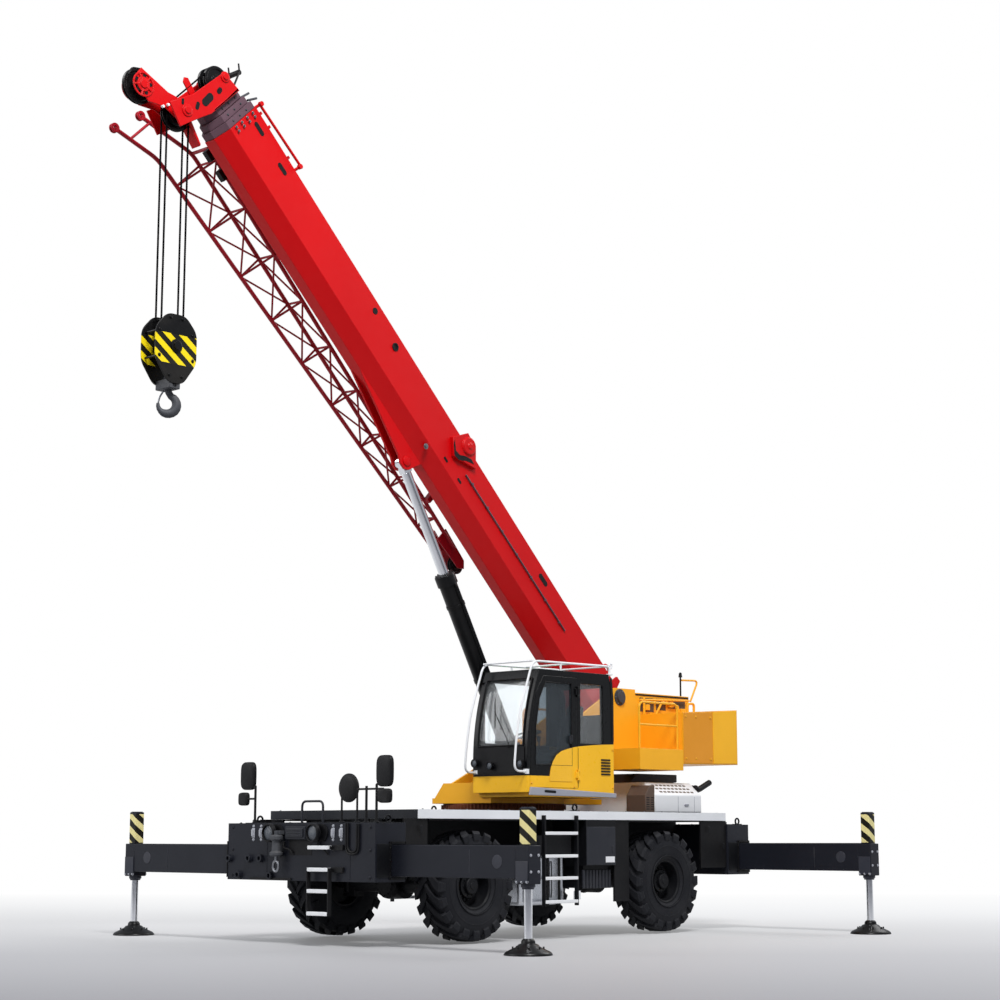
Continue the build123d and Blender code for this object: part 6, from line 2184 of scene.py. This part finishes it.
        for x in (-0.16, -0.05, 0.05, 0.16):
            bolts.bolts([boom_place(x, 10.7, 0.19)], BOOM_UP, 0.014, 0.014)
        bolts.bolts([boom_place(self.half, 5.39, -0.52)], X_AXIS, 0.03, 0.02)
        bolts.piece("boom_bolts", Coats.steel, "boom_base")
        foot = Shape()
        for side in SIGNS:
            foot.lathe([
                (0, 0.125), (0.008, 0.12), (0.008, 0.07),
            ], boom_place(side * 0.3225, 0, 0), X_AXIS * side, 36)
        foot.piece("boom_foot_rings", Coats.boom_red, "boom_base")

    def collars(self) -> None:
        """Wear pads and bolts at the mouth of each inner section."""
        for section in (2, 3, 4):
            inset = 0.03 * (section - 1)
            s = 10.75 + 0.105 * (section - 1)
            shape = Shape()
            for n in (0.0, -0.15, -0.3):
                shape.bolts([boom_place(self.half - inset + 0.018, s - 0.05, n)], X_AXIS, 0.011, 0.012)
            for x in (-0.1, 0.1):
                shape.block(boom_place(x, s - 0.004, 0.17 - inset + 0.012), (0.07, 0.03, 0.03), BOOM_TURN)
            shape.piece(f"section_{section}_pads", Coats.cast, f"boom_{section}")

    def jib_place(self, name: str, s: float) -> Vector:
        """Point on one of the jib's chords at station s."""
        knee, tip = self.jib_chords[name][-2:]
        share = (s - knee[1]) / (tip[1] - knee[1])
        x, s, n = (near + (far - near) * share for near, far in zip(knee, tip))
        return boom_place(x, s, n)

    def jib(self) -> None:
        """Triangular lattice of the stowed jib with its fork, tip plates, sheave and brackets."""
        lattice = Shape()
        for chord in self.jib_chords.values():
            lattice.tube([boom_place(*corner) for corner in chord], 0.03, bend=0.12, sides=14)
        step = (self.jib_run[1] - self.jib_run[0]) / self.jib_panels
        for panel in range(self.jib_panels):
            s = self.jib_run[0] + step * (panel + 0.25)
            for near, far in (("low", "high"), ("high", "inner"), ("inner", "low")):
                lattice.rod(self.jib_place(near, s), self.jib_place(far, s), 0.017, sides=10)
                if panel + 1 < self.jib_panels:
                    lattice.rod(self.jib_place(near, s), self.jib_place(far, s + step), 0.014, sides=10)
        lattice.rod(boom_place(-0.75, 11.3, -1.188), boom_place(-0.75, 11.3, -0.73), 0.02)
        lattice.rod(boom_place(-0.75, 10.6, -0.392), boom_place(-0.36, 10.6, -0.41), 0.025)
        lattice.piece("jib_lattice", Coats.jib_red, "boom_base", replaces=["fly_jib"])
        plates = Shape()
        for name in ("low", "high"):
            x, s, n = self.jib_chords[name][0]
            for at in (-0.03, 0.014):
                plates.lathe([
                    (at, 0.03), (at, 0.068), (at + 0.016, 0.068), (at + 0.016, 0.03),
                ], boom_place(x, s, n), X_AXIS, 28, closed=True)
        for x in (-0.615, -0.375):
            plates.plate(
                boom_sheet(x + 0.01),
                [(3.92, -0.51), (3.92, -0.76), (3.33, -0.73), (3.24, -0.64), (3.33, -0.55)], 0.02,
            )
        for s in (4.5, 8.8):
            near = (self.jib_run[0] - s) / (self.jib_run[0] - self.jib_run[1])
            n = -0.41 * (1 - near) - 0.6 * near
            plates.prism([
                boom_place(-self.half, *p)
                for p in ((s - 0.05, -0.35), (s + 0.05, -0.35), (s + 0.04, n - 0.015), (s - 0.04, n - 0.015))
            ], -X_AXIS * 0.1)
        plates.piece("jib_plates", Coats.jib_red, "boom_base", bevel=0.004)
        wheel = Shape()
        Sheave(-0.495, 3.33, -0.64, 0.14, bore=0.03).add(wheel)
        wheel.rod(boom_place(-0.61, 3.33, -0.64), boom_place(-0.38, 3.33, -0.64), 0.03)
        for s in (10.534, 10.214):
            wheel.block(boom_place(-0.3, s, -0.52), (0.08, 0.12, 0.16), BOOM_TURN)
        wheel.piece("jib_tip_sheave", Coats.plastic, "boom_base")

    def cylinder(self) -> None:
        """Gland, ports, side tube and clamps on the lift cylinder, and a ring on its rod's eye."""
        foot = spot(0, *BARREL_FOOT)
        eye = boom_place(0, *self.eye)
        run = (eye - foot).normalized()
        gland = Shape().lathe([
            (-0.16, 0.136), (-0.16, 0.155), (-0.02, 0.155), (0.0, 0.148), (0.012, 0.12), (0.012, 0.078),
        ], foot + run * self.gland, run, 48)
        gland.bolts(circle(foot + run * self.gland, 0.128, 10, X_AXIS, X_AXIS.cross(run)), run, 0.01, 0.02)
        for s in (0.16, 1.4, 2.6):
            gland.lathe([(0, 0.136), (0, 0.144), (0.05, 0.144), (0.05, 0.136)], foot + run * s, run, 48)
        gland.block(foot + run * 0.3 + X_AXIS * 0.14, (0.1, 0.1, 0.1))
        gland.piece("cylinder_gland", Coats.black, "lift_barrel")
        pipe = Shape().tube([
            foot + run * 0.35 + X_AXIS * 0.12, foot + run * 0.35 + X_AXIS * 0.165,
            foot + run * 2.9 + X_AXIS * 0.165, foot + run * 2.98 + X_AXIS * 0.14,
        ], 0.018, bend=0.04)
        pipe.piece("cylinder_pipe", Coats.plastic, "lift_barrel")
        dress_node("lift_cylinder_barrel", Coats.black)
        dress_node("lift_cylinder_rod", Coats.chrome)
        eye_ring = Shape()
        for side in SIGNS:
            eye_ring.lathe(
                [(0, 0.104), (0.003, 0.1), (0.003, 0.06)], eye + X_AXIS * side * 0.06, X_AXIS * side, 36,
            )
        eye_ring.piece("rod_eye_ring", Coats.black, "lift_rod")
        pin = Shape()
        for side in SIGNS:
            pin.lathe([
                (0, 0.075), (0.012, 0.075), (0.02, 0.055), (0.02, 0.0),
            ], boom_place(side * 0.1, *self.eye), X_AXIS * side, 32)
        pin.piece("cylinder_eye_caps", Coats.boom_red, "boom_base")

    def build(self) -> None:
        """Dresses the sections and adds the head, the jib, the cylinder and the small parts."""
        dress_node("boom_base", Coats.boom_red)
        for section in (2, 3, 4):
            dress_node(f"boom_section_{section}", Coats.collar_grey)
        self.head()
        self.base_details()
        self.collars()
        self.jib()
        self.cylinder()


@dataclass
class HookBlock:
    """Rope falls, hook block and hook."""

    strands: int = 6
    lay: float = 0.16
    radius: float = 0.0145
    spread: float = 0.1773
    block_z: float = 7.744
    half: float = 0.335
    top: float = 0.425
    bottom: float = -0.5
    cheek_x: float = 0.15
    hook_centre_z: float = 6.985

    def falls(self) -> None:
        """Four falls of laid rope."""
        low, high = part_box("rope_falls")
        middle = (low.y + high.y) / 2
        places = [
            (x, middle + side * self.spread) for x in (low.x + 0.012, high.x - 0.012) for side in (-1, 1)
        ]
        sides = self.strands * 2
        shape = Shape()
        steps_per_lay = 10
        for x, y in places:
            count = int((high.z - low.z) / self.lay * steps_per_lay)
            rings = []
            for step in range(count + 1):
                z = low.z + (high.z - low.z) * step / count
                twist = 2 * math.pi * step / steps_per_lay
                rings.append([
                    Vector((x + math.cos(a) * r, y + math.sin(a) * r, z))
                    for a, r in (
                        (twist + 2 * math.pi * k / sides, self.radius * (1.0 if k % 2 else 0.74))
                        for k in range(sides)
                    )
                ])
            shape.loft(rings)
        rope = shape.piece("hoist_rope_falls", Coats.rope, "falls", smooth=60, replaces=["rope_falls"])
        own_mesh(rope)

    def block(self) -> None:
        """Striped cheeks with round corners, grooved sheaves, shaft, bolts and crosshead."""
        y = middle_of("hook_block").y
        sheet = Sheet(Vector((0, y, self.block_z)), Y_AXIS, Z_AXIS)
        corners = [
            (-self.half, -0.2), (-self.half, 0.22), (-0.15, self.top), (0.15, self.top), (self.half, 0.22),
            (self.half, -0.2), (0.12, self.bottom), (-0.12, self.bottom),
        ]
        loop = [Vector((u, v, 0)) for u, v in corners]
        start = (loop[-1] + loop[0]) / 2
        smooth = [(p.x, p.y) for p in rounded([start, *loop, start], 0.09, 6)[:-1]]
        ties = ((-0.27, 0.18), (0.27, 0.18), (-0.27, -0.16), (0.27, -0.16), (-0.1, 0.37), (0.1, 0.37))
        cheeks, bolts, wheels, head = Shape(), Shape(), Shape(), Shape()
        for side in SIGNS:
            face = side * self.cheek_x
            cheeks.plate(sheet.moved(face - 0.01), smooth, 0.02)
            out = X_AXIS * side
            bolts.lathe([
                (0, 0.09), (0.014, 0.09), (0.02, 0.06), (0.04, 0.055), (0.04, 0.0),
            ], sheet.at(0, 0, face + side * 0.01), out, 32)
            places = [sheet.at(u, v, face + side * 0.01) for u, v in (*ties, (-0.1, -0.4), (0.1, -0.4))]
            bolts.bolts(places, out, 0.016, 0.018)
        for x in (-0.06, 0.06):
            Sheave(x, 0, 0, 0.2).add(wheels, Vector((x, y, self.block_z)))
        wheels.rod(Vector((-self.cheek_x, y, self.block_z)), Vector((self.cheek_x, y, self.block_z)), 0.042)
        for u, v in ties:
            wheels.rod(sheet.at(u, v, -self.cheek_x), sheet.at(u, v, self.cheek_x), 0.014)
        head.block((0, y, self.block_z + self.bottom), (0.3, 0.18, 0.13))
        for side in SIGNS:
            head.lathe([
                (0, 0.06), (0.02, 0.055), (0.02, 0.0),
            ], Vector((side * 0.13, y, self.block_z + self.bottom)), X_AXIS * side, 24)
        cheeks.piece("block_cheeks", Coats.cheek, "block", bevel=0.005, replaces=["hook_block"])
        bolts.piece("block_bolts", Coats.black, "block")
        wheels.piece("block_sheaves", Coats.black, "block")
        head.piece("block_crosshead", Coats.cast, "block", bevel=0.012)

    def hook(self) -> None:
        """Forged single hook with a swelling saddle, a pointed tip and a latch."""
        y = middle_of("hook_block").y
        across = Vector((-0.5, -0.866, 0))
        centre = Vector((0, y, self.hook_centre_z))
        stations = [(0.0, 0.36, 0.044), (0.0, 0.24, 0.044), (-0.015, 0.16, 0.046)]
        for step in range(15):
            a = math.radians(112 + step * 18.2)
            share = step / 14
            swell = 0.018 * math.sin(min(1.0, share * 1.25) * math.pi)
            thick = 0.046 + swell - 0.026 * max(0.0, share - 0.7) / 0.3
            stations.append((math.cos(a) * 0.122, math.sin(a) * 0.122, thick))
        rings = []
        for i, (u, v, thick) in enumerate(stations):
            before, after = stations[max(i - 1, 0)], stations[min(i + 1, len(stations) - 1)]
            way = (across * (after[0] - before[0]) + Z_AXIS * (after[1] - before[1])).normalized()
            flat = across.cross(Z_AXIS).normalized()
            at = centre + across * u + Z_AXIS * v
            rings.append(circle(at, thick, 20, flat * 0.85, way.cross(flat)))
        body = Shape().loft(rings)
        body.rod(centre + Z_AXIS * 0.32, Vector((0, y, self.block_z + self.bottom - 0.06)), 0.045, sides=28)
        body.rod(
            Vector((0, y, self.block_z + self.bottom + 0.067)),
            Vector((0, y, self.block_z + self.bottom + 0.105)), 0.065, sides=6,
        )
        body.piece("forged_hook", Coats.cast, "hook", smooth=60, replaces=["hook"])
        hinge = centre + across * 0.04 + Z_AXIS * 0.2
        reach = Vector((0.866, -0.5, 0)) * 0.04
        latch = Shape().tube([
            hinge, centre + across * 0.1 + Z_AXIS * 0.1, centre + across * 0.118 + Z_AXIS * 0.02,
        ], 0.012, bend=0.04)
        latch.rod(hinge - reach, hinge + reach, 0.014)
        latch.piece("hook_latch", Coats.steel, "hook")

    def build(self) -> None:
        """Builds the falls, the block and the hook."""
        self.falls()
        self.block()
        self.hook()


# ---- studio --------------------------------------------------------------------------------------
@dataclass
class Studio:
    """Camera, soft lights, pale floor and bright surround."""

    camera_place: tuple[float, float, float] = (20.96, -20.62, 1.448)
    heading: float = 43.495
    pitch: float = 9.383
    lens: float = 72.95
    floor_near_shade: str = "7f7e82"
    floor_far: str = "f4f4f4"

    def camera(self) -> None:
        """Sets the camera low in front of the cab's side."""
        data = bpy.data.cameras.new("view")
        data.lens = self.lens
        data.sensor_width = 36.0
        data.clip_end = 500.0
        camera = bpy.data.objects.new("view", data)
        bpy.context.scene.collection.objects.link(camera)
        camera.location = self.camera_place
        camera.rotation_euler = (math.radians(90 + self.pitch), 0, math.radians(self.heading))
        bpy.context.scene.camera = camera

    def lamp(
        self, name: str, place: Sequence[float], aim: Sequence[float], size: float, power: float,
    ) -> None:
        """Adds one soft square lamp.

        Args:
            name: Its name.
            place: Where it hangs.
            aim: The point it faces.
            size: Length of its side.
            power: Its strength in watts.
        """
        data = bpy.data.lights.new(name, "AREA")
        data.size = size
        data.energy = power
        lamp = bpy.data.objects.new(name, data)
        lamp.location = place
        lamp.rotation_euler = (Vector(aim) - Vector(place)).to_track_quat("-Z", "Y").to_euler()
        bpy.context.scene.collection.objects.link(lamp)

    def floor(self) -> None:
        """Pale floor, painted greyer towards the camera as painted shade and white towards the back."""
        data = bpy.data.meshes.new("floor")
        reach = 220.0
        data.from_pydata(
            [(x * reach, y * reach, 0) for x, y in ((-1, -1), (1, -1), (1, 1), (-1, 1))], [], [(0, 1, 2, 3)],
        )
        floor = bpy.data.objects.new("floor", data)
        bpy.context.scene.collection.objects.link(floor)
        material = bpy.data.materials.new("floor")
        material.use_nodes = True
        nodes = NodeTree(material.node_tree)
        shader = material.node_tree.nodes["Principled BSDF"]
        run = nodes.add("VectorMath", operation="DOT_PRODUCT")
        nodes.join(nodes.place(), run.inputs[0])
        heading = math.radians(self.heading)
        run.inputs[1].default_value = (-math.sin(heading), math.cos(heading), 0)
        # Grey near the camera paints the floor's shade; the far colour is pale.
        share = nodes.spread(run.outputs["Value"], -14.0, 16.0)
        nodes.join(
            nodes.mix(share, linear(self.floor_near_shade), linear(self.floor_far)), shader.inputs["Base Color"],
        )
        shader.inputs["Roughness"].default_value = 0.55
        white = nodes.add("Emission")
        white.inputs["Color"].default_value = (1, 1, 1, 1)
        path = nodes.add("LightPath")
        seen = nodes.math("MAXIMUM", path.outputs["Is Camera Ray"], path.outputs["Is Glossy Ray"])
        far = nodes.spread(run.outputs["Value"], -4.0, 22.0)
        mixed = nodes.add("MixShader")
        nodes.join(nodes.math("MULTIPLY", seen, far), mixed.inputs[0])
        nodes.join(shader.outputs[0], mixed.inputs[1])
        nodes.join(white.outputs[0], mixed.inputs[2])
        nodes.join(mixed.outputs[0], material.node_tree.nodes["Material Output"].inputs[0])
        data.materials.append(material)

    def surround(self) -> None:
        """World that lights softly and is white to the eye and through glass."""
        world = bpy.data.worlds.new("surround")
        bpy.context.scene.world = world
        world.use_nodes = True
        nodes = NodeTree(world.node_tree)
        back = world.node_tree.nodes["Background"]
        path = nodes.add("LightPath")
        seen = nodes.math("MAXIMUM", path.outputs["Is Camera Ray"], path.outputs["Is Transmission Ray"])
        nodes.join(nodes.mix(seen, (0.82, 0.86, 0.93, 1), (1, 1, 1, 1)), back.inputs["Color"])
        nodes.join(nodes.spread(seen, 0, 1, (0.5, 1.0)), back.inputs["Strength"])

    def build(self) -> None:
        """Sets up all that isn't the crane."""
        self.camera()
        self.floor()
        self.surround()
        self.lamp("key", (14, -9, 24), (0, 0, 4), 7, 6200)
        self.lamp("fill", (-14, -20, 14), (0, 0, 4), 14, 2200)
        self.lamp("rim", (4, 22, 20), (0, 0, 5), 12, 2200)
        bpy.context.scene.view_settings.view_transform = "Standard"


def main() -> None:
    """Builds the crane's sub-assemblies in order."""
    logging.basicConfig(level=logging.INFO, format="%(message)s")
    Studio().build()
    for assembly in (Wheels(), Carrier(), Outriggers(), Superstructure(), Cab(), Boom(), HookBlock()):
        assembly.build()
        log.info("%s done", type(assembly).__name__)


if __name__ == "__main__":
    main()
